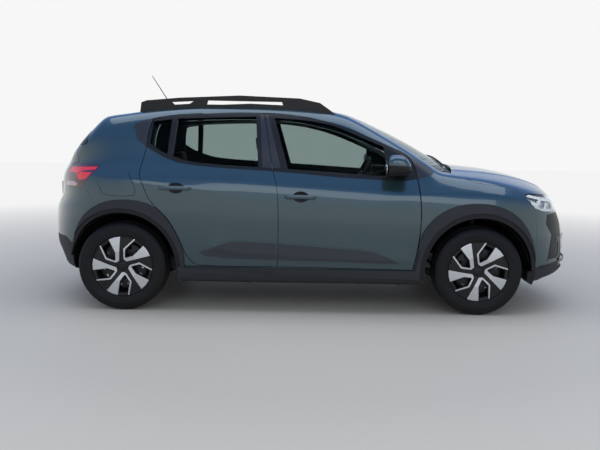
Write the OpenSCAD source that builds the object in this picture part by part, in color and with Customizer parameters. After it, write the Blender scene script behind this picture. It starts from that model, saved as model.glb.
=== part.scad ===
// Five door hatchback with raised arch trim and roof rails, parked on its wheels.
// +X is the nose, +Y the left side, +Z up. The origin is on the ground at mid length.

/* [Body size] */
// Overall length over both bumpers
body_len = 4099; // [4060:1:4160]
// Width over the painted doors
body_w = 1780; // [1740:1:1820]
// Height of the roof at its middle
roof_z = 1535; // [1515:1:1555]
// Height of the bonnet at the foot of the windscreen
cowl_z = 1086; // [1076:1:1096]
// Height of the flat underside
floor_z = 205; // [195:1:225]
// Height of the lower edge of the side glass at the front door
belt_z = 1008; // [1000:1:1016]

/* [Wheels] */
// Distance between the axles
wheelbase = 2604; // [2580:1:2630]
// Distance from the front axle to the nose
front_overhang = 827; // [810:1:845]
// Distance from the middle to the middle of a tyre
track_half = 757; // [750:1:762]
// Outer radius of a tyre
tyre_r = 326; // [318:1:334]
// Width of a tyre
tyre_w = 205; // [185:1:215]
// Radius of the rim under the tyre
rim_r = 203; // [196:1:208]
// Radius of the wheel cover
cover_r = 221; // [216:1:226]
// Number of broad blades in a wheel cover
blades = 5; // [3:1:7]

/* [Panels] */
// Width of the gap between two panels
shut = 8; // [8:1:12]
// Thickness of a door below the glass
door_t = 110; // [95:1:125]
// Thickness of a door frame beside the glass
frame_t = 42; // [36:1:50]
// Thickness of a bolted outer panel
panel_t = 10; // [8:1:12]
// Thickness of the bonnet and tailgate with their frames
lid_t = 28; // [22:1:34]
// Thickness of the pillars and quarters
pillar_t = 60; // [52:1:70]
// Thickness of glass
glass_t = 5; // [4:1:6]
// How far the dark arch trim stands out from the paint
trim_out = 16; // [10:1:20]

/* [Details] */
// Radius of the arch opening round each wheel
arch_r = 400; // [392:1:408]
// Running clearance of hubs, pins and seats
fit = 0.3; // [0.2:0.05:0.4]
// Diameter of the steering wheel
steer_d = 370; // [350:1:390]
// Width of a front seat
seat_w = 500; // [470:1:520]
// Radius of the steel jacking pads
pad_r = 30; // [24:1:36]

/* [Hidden] */
$fn = 48;

paint = "#4d6570";
black = "#202226";
nose = body_len / 2;
tail = -body_len / 2;
front_x = nose - front_overhang;
rear_x = front_x - wheelbase;
half_w = body_w / 2;
hub_z = tyre_r;

// The outlines are drawn at this car's real sizes, where the axles and doors lie here
drawn_front = 1222.5;
drawn_rear = -1381.5;
drawn_half = 890;
drawn_nose = 2049.5;
// They keep their distance to an axle this far before and behind it, and stretch between
front_ahead = 300;
front_behind = 520;
rear_ahead = 600;
rear_behind = 200;
function stretch(x, a0, a1, b0, b1) = b0 + (x - a0) * (b1 - b0) / (a1 - a0);
function along(x) = x > drawn_front + front_ahead
    ? stretch(x, drawn_front + front_ahead, drawn_nose, front_x + front_ahead, nose)
  : x > drawn_front - front_behind ? x + front_x - drawn_front
  : x > drawn_rear + rear_ahead
    ? stretch(x, drawn_rear + rear_ahead, drawn_front - front_behind, rear_x + rear_ahead,
      front_x - front_behind)
  : x > drawn_rear - rear_behind ? x + rear_x - drawn_rear
  : stretch(x, drawn_rear - rear_behind, -drawn_nose, rear_x - rear_behind, tail);
function across(y) = y * half_w / drawn_half;
function stations(list) = [for (u = list) along(u)];
function side_line(line) = [for (p = line) [along(p[0]), p[1]]];
function plan_line(line) = [for (p = line) [p[0], across(p[1])]];
function rear_line(line) = [for (p = line) [across(p[0]), p[1]]];

// Centre line of the top, from the nose over the screen and roof to the tail
top_line = [[tail - 10, 880], [tail + 60, 985], [tail + 98, 1040], [tail + 137, 1084],
  [tail + 201, 1170], [tail + 280, 1263], [tail + 359, roof_z - 186],
  [tail + 405, roof_z - 138], [tail + 452, roof_z - 101], [tail + 512, roof_z - 86],
  [tail + 592, roof_z - 74], [tail + 744, roof_z - 53], [rear_x + 231, roof_z - 36],
  [rear_x + 531, roof_z - 10], [along(-449.5), roof_z], [along(-250.5), roof_z - 2],
  [along(-49.5), roof_z - 12], [along(150.5), roof_z - 35],
  [along(307.5), roof_z - 68], [along(533.5), cowl_z + 286],
  [front_x - 461, cowl_z + 176], [front_x - 309, cowl_z + 92],
  [front_x - 232, cowl_z + 51], [front_x - 150, cowl_z + 8], [front_x - 110, cowl_z - 1],
  [front_x - 70, cowl_z - 4], [front_x + 18, cowl_z - 11], [front_x + 177, cowl_z - 28],
  [nose - 491, cowl_z - 57], [nose - 332, cowl_z - 102], [nose - 212, cowl_z - 155],
  [nose - 130, cowl_z - 224], [nose - 85, cowl_z - 286], [nose + 10, cowl_z - 440]];
// Half width of the body by height, from the sill to the roof edge
width_line = [[150, half_w - 95], [floor_z + 30, half_w - 52], [285, half_w - 26],
  [340, half_w - 14], [450, half_w - 6], [600, half_w - 1], [710, half_w],
  [800, half_w - 3], [880, half_w - 12], [930, half_w - 25], [985, half_w - 52],
  [1040, half_w - 82], [1100, half_w - 106], [1200, half_w - 140],
  [1300, half_w - 179], [1400, half_w - 226], [1450, half_w - 256],
  [1500, half_w - 300], [1560, half_w - 380]];
// How much higher the shoulder lies toward the tail and lower toward the nose
rise_line = [[tail, 30], [rear_x - 120, 42], [rear_x + 80, 52], [along(-600), 28],
  [along(-93), 0], [along(500), -36], [along(1200), -70], [nose, -80]];
// Set back of the nose from its foremost point, by height
nose_line = [[150, 230], [238, 150], [275, 56], [322, 9], [361, 0], [415, 5], [531, 18],
  [593, 24], [670, 39], [747, 54], [801, 58], [860, 70], [1000, 110], [1200, 200]];
// Set back of the tail from its rearmost point, by height
tail_line = [[150, 250], [250, 150], [280, 74], [328, 52], [391, 28], [438, 8], [494, 0],
  [691, 0], [738, 8], [790, 34], [830, 48], [926, 50], [988, 56], [1035, 66],
  [1100, 88], [1250, 120], [1400, 168], [1500, 220]];
// Where the plan starts to round toward the nose and the tail, and how square it is
nose_round = front_x - 80;
tail_round = rear_x + 60;
nose_square = 2.55;
tail_square = 2.3;
// How far the top bows forward, rearward and down from the middle to this half width
bow_y = 650;
screen_bow = 120;
hatch_bow = 55;
crown = 30;
bonnet_crown = 48;
edge_blend = 70;
// Ends of the line that the skin is measured from, and its height
core_z = 640;
core_front = front_x - 70;
core_rear = rear_x + 120;

// Smooth curve through the points of an outline, as a fine table
function tangent(p, i) = let (a = max(0, i - 1), b = min(len(p) - 1, i + 1))
  (p[b][1] - p[a][1]) / (p[b][0] - p[a][0]);
function smooth_table(p, steps) = concat([for (i = [0:len(p) - 2], k = [0:steps - 1])
  let (h = p[i + 1][0] - p[i][0], t = k / steps, s = t * t * (3 - 2 * t),
       m0 = tangent(p, i), m1 = tangent(p, i + 1))
  [p[i][0] + t * h, p[i][1] + s * (p[i + 1][1] - p[i][1])
    + h * (t * pow(1 - t, 2) * m0 - t * t * (1 - t) * m1)]], [p[len(p) - 1]]);
top_table = smooth_table(top_line, 4);
width_table = smooth_table(width_line, 3);

function ramp(a, b, x) = let (t = min(1, max(0, (x - a) / (b - a)))) t * t * (3 - 2 * t);
function top_z(x, y) = let (q = pow(y / bow_y, 2),
    bow = screen_bow * ramp(along(-300), along(700), x)
      - hatch_bow * ramp(along(-900), along(-1500), x),
    drop = crown + (bonnet_crown - crown) * ramp(along(700), along(1100), x))
  lookup(x + bow * q, top_table) - drop * q;
function half_width(x, z) = lookup(z - lookup(x, rise_line), width_table);
// Distance outside the rounded plan at one height, less than zero inside
function side_gap(p) = let (x = p[0], z = p[2], w = half_width(x, z), y = abs(p[1]) / w)
  x > nose_round ? let (a = nose - lookup(z, nose_line) - nose_round)
    w * (pow(pow(y, nose_square) + pow((x - nose_round) / a, nose_square),
      1 / nose_square) - 1)
  : x < tail_round ? let (a = tail_round - tail - lookup(z, tail_line)
      + 210 * ramp(1040, 1300, z))
    w * (pow(pow(y, tail_square) + pow((tail_round - x) / a, tail_square),
      1 / tail_square) - 1)
  : w * (y - 1);
function blend_max(a, b, k) = let (h = max(0, k - abs(a - b))) max(a, b) + h * h / (4 * k);
function skin_gap(p) = blend_max(blend_max(side_gap(p), 0.85 * (p[2] - top_z(p[0], p[1])),
  edge_blend), floor_z - p[2], 50);

// A station is an x along the core, and past its ends the rays lean to nose or tail
function lean(u) = u > core_front ? 90 * (u - core_front) / (nose - core_front)
  : u < core_rear ? -90 * (core_rear - u) / (core_rear - tail) : 0;
function reach(o, d, t, lo, hi, n) = let (m = (lo + hi) / 2, p = o + d * m)
  n == 0 ? p : skin_gap(p) + lookup(p[2], t) < 0 ? reach(o, d, t, m, hi, n - 1)
  : reach(o, d, t, lo, m, n - 1);
// Point of the skin at station u and angle v from straight down, round the right side.
// At the nose (end 1) and tail (end -1), u and v turn in plan and rise from one point.
function skin_point(u, v, t, end) = let (f = lean(u))
  end == 0 ? reach([min(core_front, max(core_rear, u)), 0, core_z],
    [sin(f), -cos(f) * sin(v), -cos(f) * cos(v)], t, 60, 1500, 15)
  : reach([end > 0 ? core_front : core_rear, 0, core_z],
    [end * cos(v) * cos(u), end * cos(v) * sin(u), sin(v)], t, 60, 1500, 15);
// Closed shell between two depths under the skin, over a grid of stations and angles
module shell(us, vs, t0, t1, end = 0) {
  n = len(us);
  m = len(vs);
  pts = [for (t = [t0, t1], u = us, v = vs) skin_point(u, v, t, end)];
  function id(s, i, j) = s * n * m + i * m + j;
  faces = concat(
    [for (i = [0:n - 2], j = [0:m - 2], k = [0, 1]) k == 0
      ? [id(0, i, j), id(0, i, j + 1), id(0, i + 1, j + 1)]
      : [id(0, i, j), id(0, i + 1, j + 1), id(0, i + 1, j)]],
    [for (i = [0:n - 2], j = [0:m - 2], k = [0, 1]) k == 0
      ? [id(1, i, j), id(1, i + 1, j + 1), id(1, i, j + 1)]
      : [id(1, i, j), id(1, i + 1, j), id(1, i + 1, j + 1)]],
    [for (i = [0:n - 2], k = [0, 1]) k == 0
      ? [id(0, i, 0), id(0, i + 1, 0), id(1, i + 1, 0)]
      : [id(0, i, 0), id(1, i + 1, 0), id(1, i, 0)]],
    [for (i = [0:n - 2], k = [0, 1]) k == 0
      ? [id(0, i, m - 1), id(1, i + 1, m - 1), id(0, i + 1, m - 1)]
      : [id(0, i, m - 1), id(1, i, m - 1), id(1, i + 1, m - 1)]],
    [for (j = [0:m - 2], k = [0, 1]) k == 0
      ? [id(0, 0, j), id(1, 0, j), id(1, 0, j + 1)]
      : [id(0, 0, j), id(1, 0, j + 1), id(0, 0, j + 1)]],
    [for (j = [0:m - 2], k = [0, 1]) k == 0
      ? [id(0, n - 1, j), id(1, n - 1, j + 1), id(1, n - 1, j)]
      : [id(0, n - 1, j), id(0, n - 1, j + 1), id(1, n - 1, j + 1)]]);
  polyhedron(pts, faces, convexity = 6);
}
function spread(a, b, n) = [for (i = [0:n]) a + (b - a) * i / n];
function flat_depth(t) = [[0, t], [2000, t]];
// Depth of a door with its thick lower part and slim window frame
function door_depth(low, high) = [[0, low], [belt_z - 40, low], [belt_z + 50, high], [2000, high]];
// Side walls and plan walls that cut the skin into panels
module side_cut(y0, y1) {
  translate([0, y1, 0]) rotate([90, 0, 0]) linear_extrude(y1 - y0) children();
}
module right_cut() { side_cut(-1100, -60) children(); }
module plan_cut(z0, z1) { translate([0, 0, z0]) linear_extrude(z1 - z0) children(); }
module rear_cut(x0, x1) {
  translate([x0, 0, 0]) rotate([90, 0, 90]) linear_extrude(x1 - x0) children();
}
// A solid made as one mesh
module meshed() { resize([0, 0, 0]) children(); }
module both_sides() {
  children();
  mirror([0, 1, 0]) children();
}

// Outlines seen from the right, in x and z
a_line = side_line([[734, 336], [759, 447], [779, 593], [785, 739], [778, 848], [762, 991],
  [736, 1098]]);
b_line = side_line([[-362, 1456], [-290, 1039], [-271, 975], [-256, 903], [-248, 795],
  [-244, 560], [-250, 346]]);
door_top_front = side_line([[690, 1166], [570, 1222], [420, 1286], [271, 1346], [122, 1393],
  [-26, 1427], [-174, 1447], [-290, 1456]]);
door_top_rear = side_line([[-543, 1457], [-764, 1450], [-984, 1436], [-1120, 1416],
  [-1178, 1400]]);
c_line = side_line([[-1205, 1300], [-1212, 1216], [-1225, 1138], [-1240, 1067], [-1248, 995],
  [-1220, 924], [-1170, 816], [-1041, 681], [-970, 558], [-919, 442], [-868, 372],
  [-810, 346]]);
front_door_outline = concat(a_line, door_top_front, b_line);
rear_door_outline = concat([for (i = [len(b_line) - 1:-1:0]) b_line[i]], door_top_rear, c_line);
front_glass_outline = side_line([[-287, 1422], [-182, 1049], [552, belt_z], [516, 1222], [345, 1292],
  [159, 1367], [-26, 1404]]);
rear_glass_outline = side_line([[-995, 1406], [-423, 1430], [-397, 1061], [-686, 1075], [-908, 1097],
  [-1019, 1130]]);
quarter_glass_outline = side_line([[-1172, 1382], [-1040, 1400], [-1058, 1146], [-1108, 1166],
  [-1190, 1222]]);
// An arch edge seen from the side, a rounded half oval that runs down to the sill
function arch_edge(x, rx, top, foot, n) = concat([[x + rx, foot]],
  [for (a = [0:180 / n:180]) [x + rx * sign(cos(a)) * pow(abs(cos(a)), 0.89),
    hub_z + (top - hub_z) * pow(sin(a), 0.89)]], [[x - rx, foot]]);
front_arch_x = front_x - 25;
rear_arch_x = rear_x + 27;
module front_arch_out() { polygon(arch_edge(front_arch_x, 455, 828, 262, 16)); }
module rear_arch_out() { polygon(arch_edge(rear_arch_x, 430, 818, 262, 16)); }
module arch_hole(x, grow = 0) {
  translate([x, hub_z]) circle(arch_r + grow, $fn = 28);
  translate([x - arch_r - grow, 0]) square([2 * (arch_r + grow), hub_z]);
}
module box_between(a, b) { translate([a[0], a[1]]) square([b[0] - a[0], b[1] - a[1]]); }

// Bonnet seen from above, with its side and front edges
bonnet_half = plan_line([[front_x - 120, 0], [front_x - 128, 300], [front_x - 166, 560],
  [front_x - 198, 690], [front_x - 150, 742], [front_x, 786], [front_x + 190, 774],
  [nose - 490, 764], [nose - 455, 830], [nose - 300, 800], [nose - 226, 700],
  [nose - 150, 460], [nose - 120, 230], [nose - 112, 0]]);
// Lower edge of the bonnet over the lamps, seen from the side
bonnet_side = side_line([[800, 850], [1500, 850], [1552, 886], [1588, 901], [1790, 877], [1900, 846],
  [1990, 842], [1990, 1300], [800, 1300]]);
module plan_shape(half) {
  polygon(concat(half, [for (i = [len(half) - 1:-1:0]) [half[i][0], -half[i][1]]]));
}
module bonnet_plan() { plan_shape(bonnet_half); }
module bonnet_space(grow) {
  intersection() {
    plan_cut(700, 1300) offset(delta = grow) bonnet_plan();
    side_cut(-1000, 1000) offset(delta = grow) polygon(bonnet_side);
  }
}
// Windscreen and roof seen from above
screen_half = plan_line([[front_x - 152, 0], [front_x - 162, 300], [front_x - 205, 540],
  [front_x - 272, 668], [along(582.5), 610], [along(222.5), 545], [along(254.5), 300],
  [along(266.5), 0]]);
module screen_plan() { plan_shape(screen_half); }
roof_side = across(545);
hatch_top = tail + 545;
// Tailgate seen from behind, in y and z
hatch_half = rear_line([[0, roof_z + 40], [500, roof_z + 40], [556, 1440], [640, 1180], [668, 1080],
  [612, 1052], [588, 960], [600, 882], [560, 800], [500, 776], [0, 770]]);
hatch_window_half = rear_line([[0, 1372], [470, 1358], [512, 1330], [590, 1110], [560, 1078],
  [0, 1062]]);
module rear_shape(half) {
  polygon(concat(half, [for (i = [len(half) - 1:-1:0]) [-half[i][0], half[i][1]]]));
}
tail_lamp_outline = side_line([[-1545, 1058], [-1710, 1064], [-1790, 1070], [-2100, 1072], [-2100, 893],
  [-1816, 893], [-1699, 890], [-1593, 1005]]);
headlamp_outline = side_line([[1552, 878], [1588, 893], [1790, 869], [1980, 830], [1990, 752],
  [1834, 757], [1737, 759], [1639, 790], [1580, 850]]);
front_bumper_outline = side_line([[1566, 860], [1580, 849], [1639, 789], [1651, 640], [1655, 240],
  [2100, 200], [2100, 866], [1800, 866]]);
rear_bumper_outline = side_line([[-1586, 777], [-1614, 842], [-1648, 888], [-1700, 890], [-1816, 893],
  [-2100, 893], [-2100, 200], [-1700, 200], [-1752, 500], [-1708, 640], [-1640, 735]]);
fuel_flap_outline = side_line([[-1489, 1024], [-1330, 1013], [-1276, 900], [-1280, 850], [-1391, 842],
  [-1514, 855], [-1560, 950]]);

side_u = stations([-1780, -1620, -1460, -1290, -1080, -820, -520, -200, 130, 460, 720, 880]);
side_v = [63, 78, 95, 104, 115, 127, 140, 153, 160];
door_v = [63, 78, 95, 104, 115, 127, 140, 153];
bonnet_v = [104, 111, 121, 133, 145, 157, 169, 180, 191, 203, 215, 227, 239, 249, 256];
bonnet_u = stations([900, 1000, 1110, 1250, 1400, 1530, 1640, 1740, 1840, 1930]);
front_u = stations([735, 900, 1060, 1190, 1300, 1390, 1470]);
nose_fan = [-68, -56, -45, -34, -22, -11, 0, 11, 22, 34, 45, 56, 68];
nose_rise = [-34, -25, -16, -7, 2, 10, 17];
tail_fan = [-78, -64, -50, -36, -21, -7, 7, 21, 36, 50, 64, 78];
tail_rise = [-32, -23, -14, -5, 4, 12, 20];
hatch_fan = [-54, -43, -30, -15, 0, 15, 30, 43, 54];
hatch_rise = [4, 12, 20, 28, 36, 45, 55, 65, 76];

// Right door with its slim frame, window hole and inner box
module door_right(outline, us) {
  difference() {
    union() {
      intersection() {
        shell(us, door_v, flat_depth(0), flat_depth(panel_t));
        right_cut() offset(delta = -shut / 2) polygon(outline);
      }
      intersection() {
        shell(us, door_v, flat_depth(panel_t - 1), door_depth(door_t, frame_t));
        right_cut() offset(delta = -30) polygon(outline);
      }
    }
    children();
  }
}
// Room round the arms of the body at the inner face of the door skin
module arm_room(at, heights) {
  for (z = heights) translate([at[0] - 14, at[1] + 2, z - 5]) cube([40, 20, 54]);
}
front_door_u = stations([-520, -200, 130, 460, 720, 880]);
rear_door_u = stations([-1290, -1080, -820, -520, -200]);
// Hinge axes of the doors, and the heights of their barrels
front_hinge = [along(764), -half_w + 8];
rear_hinge = [along(-260), -half_w + 11];
front_hinge_z = [604, 740];
rear_hinge_z = [450, 740];
hinge_r = 6;
module barrels(at, heights) {
  for (z = heights) translate([at[0], at[1], z]) cylinder(r = hinge_r, h = 44, $fn = 12);
}
// Arms of the body that carry the barrels from inside, clear of the door's front edge
module hinge_arms(at, heights, deep, long = 36) {
  for (z = heights) {
    translate([at[0] - 7, at[1] + hinge_r + fit, z]) cube([7, 34, 44]);
    translate([at[0] - 7, at[1] + 28, z]) cube([long, deep, 44]);
  }
}
module front_door() {
  door_right(front_door_outline, front_door_u) {
    right_cut() polygon(front_glass_outline);
    arm_room(front_hinge, front_hinge_z);
  }
  barrels(front_hinge, front_hinge_z);
}
module rear_door() {
  door_right(rear_door_outline, rear_door_u) {
    right_cut() polygon(rear_glass_outline);
    right_cut() polygon(quarter_glass_outline);
    arm_room(rear_hinge, rear_hinge_z);
  }
  barrels(rear_hinge, rear_hinge_z);
}
mirror_x = along(605);
mirror_y = half_w + 15;
mirror_z = 1085;
module door_mirror() {
  hull() {
    translate([mirror_x + 30, -mirror_y, mirror_z]) scale([0.62, 0.85, 0.72])
      sphere(115, $fn = 14);
    translate([mirror_x - 42, -mirror_y, mirror_z - 8]) scale([0.1, 0.85, 0.62])
      sphere(112, $fn = 14);
  }
  hull() {
    translate([mirror_x + 10, -mirror_y + 50, mirror_z - 62]) cube([70, 60, 24], center = true);
    translate([mirror_x + 60, -half_w + 120, belt_z + 38]) cube([110, 30, 40], center = true);
  }
}
module window_glass(outline, us) {
  meshed() intersection() {
    shell(us, door_v, flat_depth(12), flat_depth(12 + glass_t));
    right_cut() polygon(outline);
  }
}

module front_door_whole() {
  meshed() {
    front_door();
    door_mirror();
  }
}
module door_front_right() { color(paint) front_door_whole(); }
module door_front_left() { color(paint) mirror([0, 1, 0]) front_door_whole(); }
module door_rear_right() { color(paint) meshed() rear_door(); }
module door_rear_left() { color(paint) mirror([0, 1, 0]) meshed() rear_door(); }
module front_glass() { window_glass(front_glass_outline, front_door_u); }
module rear_glass() {
  window_glass(rear_glass_outline, rear_door_u);
  window_glass(quarter_glass_outline, rear_door_u);
}
module glass_front_right() { color("#8fa3a6") front_glass(); }
module glass_front_left() { color("#8fa3a6") mirror([0, 1, 0]) front_glass(); }
module glass_rear_right() { color("#8fa3a6") rear_glass(); }
module glass_rear_left() { color("#8fa3a6") mirror([0, 1, 0]) rear_glass(); }

// Fixed side: pillars, quarter, sill and the roof edge, with its door holes
sill_in = 150;
jamb_w = 26;
seal_w = 48;
module side_outline() {
  polygon(side_line([[735, 270], [742, 345], [742, 1046], [884, 1046], [930, 1130], [400, 1400],
    [180, 1560], [-1500, 1560], [-2100, 1300], [-2100, 893], [-1816, 893], [-1700, 890],
    [-1648, 888],
    [-1614, 842], [-1586, 777], [-1640, 735], [-1708, 640], [-1752, 500], [-1700, 270]]));
}
module door_holes(grow) {
  offset(delta = grow) polygon(front_door_outline);
  offset(delta = grow) polygon(rear_door_outline);
}
module body_side() {
  difference() {
    union() {
      intersection() {
        shell(side_u, side_v, flat_depth(0), flat_depth(pillar_t));
        right_cut() side_outline();
      }
      intersection() {
        shell(side_u, side_v, flat_depth(panel_t + fit),
          door_depth(door_t + shut + 40, frame_t + shut + 30));
        right_cut() door_holes(jamb_w);
      }
    }
    intersection() {
      shell(side_u, side_v, flat_depth(-5), door_depth(door_t + shut, frame_t + shut));
      right_cut() door_holes(shut / 2);
    }
    right_cut() door_holes(-seal_w);
    right_cut() arch_hole(rear_x, 6);
    right_cut() arch_hole(front_x, 6);
    right_cut() offset(delta = fit) polygon(tail_lamp_outline);
    // Pocket behind the fuel flap
    intersection() {
      shell(flap_u, flap_v, flat_depth(-5), flat_depth(26));
      right_cut() offset(delta = shut / 2 + 1) polygon(fuel_flap_outline);
    }
    // Room for the people inside the jambs
    translate([along(-1700), -half_w + 190, 0])
      cube([along(1000) - along(-1700), half_w - 190, 940]);
    plan_cut(900, 1700) offset(delta = fit) screen_plan();
    bonnet_space(shut);
    translate([along(-1700), -roof_side - fit, 1150])
      cube([along(400) - along(-1700), 2 * roof_side, 500]);
    rear_cut(tail - 20, hatch_top + shut) offset(delta = shut / 2) rear_shape(hatch_half);
    translate([hatch_top - 400, -roof_side, 1200]) cube([400, roof_side + 55, 500]);
  }
}
module sill_right() {
  difference() {
    translate([rear_x + arch_r + 8, -half_w + 72, floor_z + 6])
      cube([wheelbase - 2 * arch_r - 16, sill_in - 72, 334 - floor_z - 6]);
    translate([0, -half_w + 72, floor_z + 6]) rotate([45, 0, 0])
      cube([2 * wheelbase, 130, 130], center = true);
  }
}
module body_sides() {
  color(paint) both_sides() meshed() {
    body_side();
    sill_right();
    translate([flap_hinge[0] - 7, flap_hinge[1] + 4 + fit, 866]) cube([6.5, 24, 20]);
    hinge_arms(front_hinge, front_hinge_z, 15 + fit, 41);
    hinge_arms(rear_hinge, rear_hinge_z, 100);
  }
}
module roof_panel() {
  color(paint) meshed() {
    // Rod aerial on its foot, leaning back
    translate([along(-1150), 0, roof_z - 45]) rotate([0, -34, 0]) {
      cylinder(r1 = 22, r2 = 9, h = 34, $fn = 10);
      cylinder(r = 3.5, h = 318, $fn = 8);
    }
    difference() {
      intersection() {
        shell(stations([-1620, -1480, -1250, -900, -500, -150, 90, 260, 420]),
          spread(146, 214, 7), flat_depth(0), flat_depth(34));
        plan_cut(1200, 1700) translate([hatch_top + shut, -roof_side])
          square([along(322.5) - hatch_top, 2 * roof_side]);
      }
      plan_cut(900, 1700) offset(delta = fit) screen_plan();
    }
  }
}
module windscreen() {
  color("#8fa3a6") meshed() intersection() {
    shell(stations([150, 300, 480, 660, 840, 990, 1120]), spread(125, 235, 8),
      flat_depth(2), flat_depth(2 + glass_t));
    plan_cut(900, 1700) screen_plan();
  }
}
// Barrels under the rear corners of the bonnet
bonnet_hinge = [front_x - 237, cowl_z - 66];
bonnet_arm_y = across(618);
module bonnet_arm() {
  translate([bonnet_hinge[0], -bonnet_arm_y, bonnet_hinge[1]]) rotate([-90, 0, 0])
    cylinder(r = hinge_r, h = 36, $fn = 12);
  translate([bonnet_hinge[0], -bonnet_arm_y, bonnet_hinge[1] - 2]) cube([90, 12, 8]);
  translate([bonnet_hinge[0] + 60, -bonnet_arm_y, bonnet_hinge[1] - 2]) cube([30, 12, 22]);
}
module bonnet() {
  color(paint) meshed() {
    both_sides() bonnet_arm();
    bonnet_lid();
  }
}
module bonnet_lid() {
  intersection() {
    shell(bonnet_u, bonnet_v, flat_depth(0), flat_depth(lid_t));
    bonnet_space(0);
  }
}
module fender_right() {
  difference() {
    intersection() {
      shell(front_u, [52, 63, 78, 95, 104, 115, 127, 140], flat_depth(0),
        flat_depth(panel_t - 3));
      right_cut() polygon(side_line([[738, 300], [738, 344], [759, 447], [779, 593], [785, 739],
        [778, 848], [762, 991], [757, 1030], [800, 1046], [884, 1046], [930, 1130],
        [1100, 1130], [1700, 930], [1588, 893], [1552, 878], [1580, 850], [1639, 790],
        [1650, 640], [1652, 300]]));
    }
    right_cut() offset(delta = fit) side_outline();
    right_cut() arch_hole(front_x, 4);
    right_cut() offset(delta = shut / 2) polygon(front_door_outline);
    right_cut() offset(delta = fit) polygon(headlamp_outline);
    right_cut() offset(delta = 1) polygon(front_bumper_outline);
    bonnet_space(shut);
    plan_cut(700, 1300) offset(delta = 1) screen_plan();
    // The cowl between bonnet and windscreen is open
    translate([front_x - 300, -across(655), 900]) cube([200, across(655), 300]);
  }
}
module front_fenders() { color(paint) both_sides() meshed() fender_right(); }

grille_half = rear_line([[0, 800], [420, 792], [560, 770], [520, 690], [470, 640], [0, 632]]);
intake_half = rear_line([[0, 470], [560, 462], [640, 400], [600, 318], [0, 312]]);
module front_bumper() {
  color(paint) meshed() difference() {
    intersection() {
      shell(nose_fan, nose_rise, flat_depth(0), flat_depth(22), 1);
      side_cut(-1100, 1100) polygon(front_bumper_outline);
    }
    side_cut(-1100, 1100) arch_hole(front_x, 4);
    right_cut() offset(delta = fit) polygon(headlamp_outline);
    mirror([0, 1, 0]) right_cut() offset(delta = fit) polygon(headlamp_outline);
    bonnet_space(shut);
    rear_cut(along(1500), nose + 150.5) rear_shape(grille_half);
    rear_cut(along(1500), nose + 150.5) rear_shape(intake_half);
  }
}
// Inner end of a headlamp, and half the width of the lock panels at nose and tail
lamp_in = across(450);
lock_half = across(430);
module grille() {
  color(black) meshed() {
    difference() {
      intersection() {
        shell(nose_fan, nose_rise, flat_depth(22 + fit), flat_depth(38), 1);
        rear_cut(along(1500), nose + 150.5) rear_shape(rear_line([[0, 810],
          [560, 800], [600, 560], [650, 400], [610, 308], [0, 302]]));
      }
      side_cut(-1100, fit - lamp_in) offset(delta = fit) polygon(headlamp_outline);
      side_cut(lamp_in - fit, 1100) offset(delta = fit) polygon(headlamp_outline);
    }
    // Lock panel under the front edge of the bonnet, with its rubber stops
    difference() {
      union() {
        translate([nose - 199.5, -lock_half, 720]) cube([40, 2 * lock_half, 60]);
        for (y = [-1:1]) translate([nose - 197.5, y * across(300) - 15, 770])
          cube([30, 30, 110]);
      }
      shell(bonnet_u, bonnet_v, flat_depth(-60), flat_depth(lid_t + fit));
    }
  }
}
module headlamps() {
  color("#c9d2d6") both_sides() meshed() intersection() {
    shell([-72, -62, -54, -46, -38, -30, -22], [3, 7, 11, 15, 19], flat_depth(1),
      flat_depth(46), 1);
    right_cut() polygon(headlamp_outline);
    translate([0, -across(1000), 0]) cube([3000, across(1000) - lamp_in, 2000]);
  }
}
module tail_lamps() {
  color("#8c1420") both_sides() meshed() difference() {
    intersection() {
      shell([32, 40, 48, 56, 64, 72, 80], [12, 17, 22, 27, 33], flat_depth(0),
        flat_depth(40), -1);
      right_cut() polygon(tail_lamp_outline);
    }
    rear_cut(tail - 20, hatch_top + 6) offset(delta = shut / 2) rear_shape(hatch_half);
  }
}
module rear_bumper() {
  color(paint) meshed() {
    rear_skin();
    rear_panel();
  }
}
module rear_skin() {
  difference() {
    intersection() {
      shell(tail_fan, tail_rise, flat_depth(0), flat_depth(22), -1);
      side_cut(-1100, 1100) offset(delta = -fit) polygon(rear_bumper_outline);
    }
    side_cut(-1100, 1100) arch_hole(rear_x, 4);
    rear_cut(tail - 20, hatch_top) offset(delta = shut) rear_shape(hatch_half);
  }
}
// Rear panel behind the bumper, with the lock that holds the tailgate
module rear_panel() {
  difference() {
    union() {
      translate([tail + 124, -lock_half, rear_floor_z + 20 + fit])
        cube([10, 2 * lock_half, 330]);
      for (y = [-1:1]) translate([tail + 60, y * across(315) - 15, 758]) cube([66, 30, 12]);
    }
    shell(hatch_fan, hatch_rise, flat_depth(-60), flat_depth(lid_t + fit), -1);
  }
}
module tailgate() {
  color(paint) meshed() difference() {
    intersection() {
      shell(hatch_fan, hatch_rise, flat_depth(0), flat_depth(lid_t), -1);
      rear_cut(tail - 20, hatch_top) rear_shape(hatch_half);
    }
    rear_cut(tail - 20, hatch_top - 90) rear_shape(hatch_window_half);
  }
}
module tailgate_glass() {
  color("#8fa3a6") meshed() intersection() {
    shell(hatch_fan, hatch_rise, flat_depth(4), flat_depth(4 + glass_t), -1);
    rear_cut(tail - 20, hatch_top - 90) rear_shape(hatch_window_half);
  }
}
flap_u = stations([-1640, -1540, -1440, -1340, -1200]);
flap_v = [86, 94, 103, 112, 122];
flap_hinge = [along(-1289), -half_w + 18];
module fuel_flap() {
  color(paint) meshed() {
    intersection() {
      shell(flap_u, flap_v, flat_depth(0), flat_depth(6));
      right_cut() offset(delta = -2.5) polygon(fuel_flap_outline);
    }
    translate([flap_hinge[0], flap_hinge[1], 866]) cylinder(r = 4, h = 20, $fn = 12);
    translate([flap_hinge[0] - 4, flap_hinge[1] - 8, 866]) cube([8, 8, 20]);
  }
}

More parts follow.
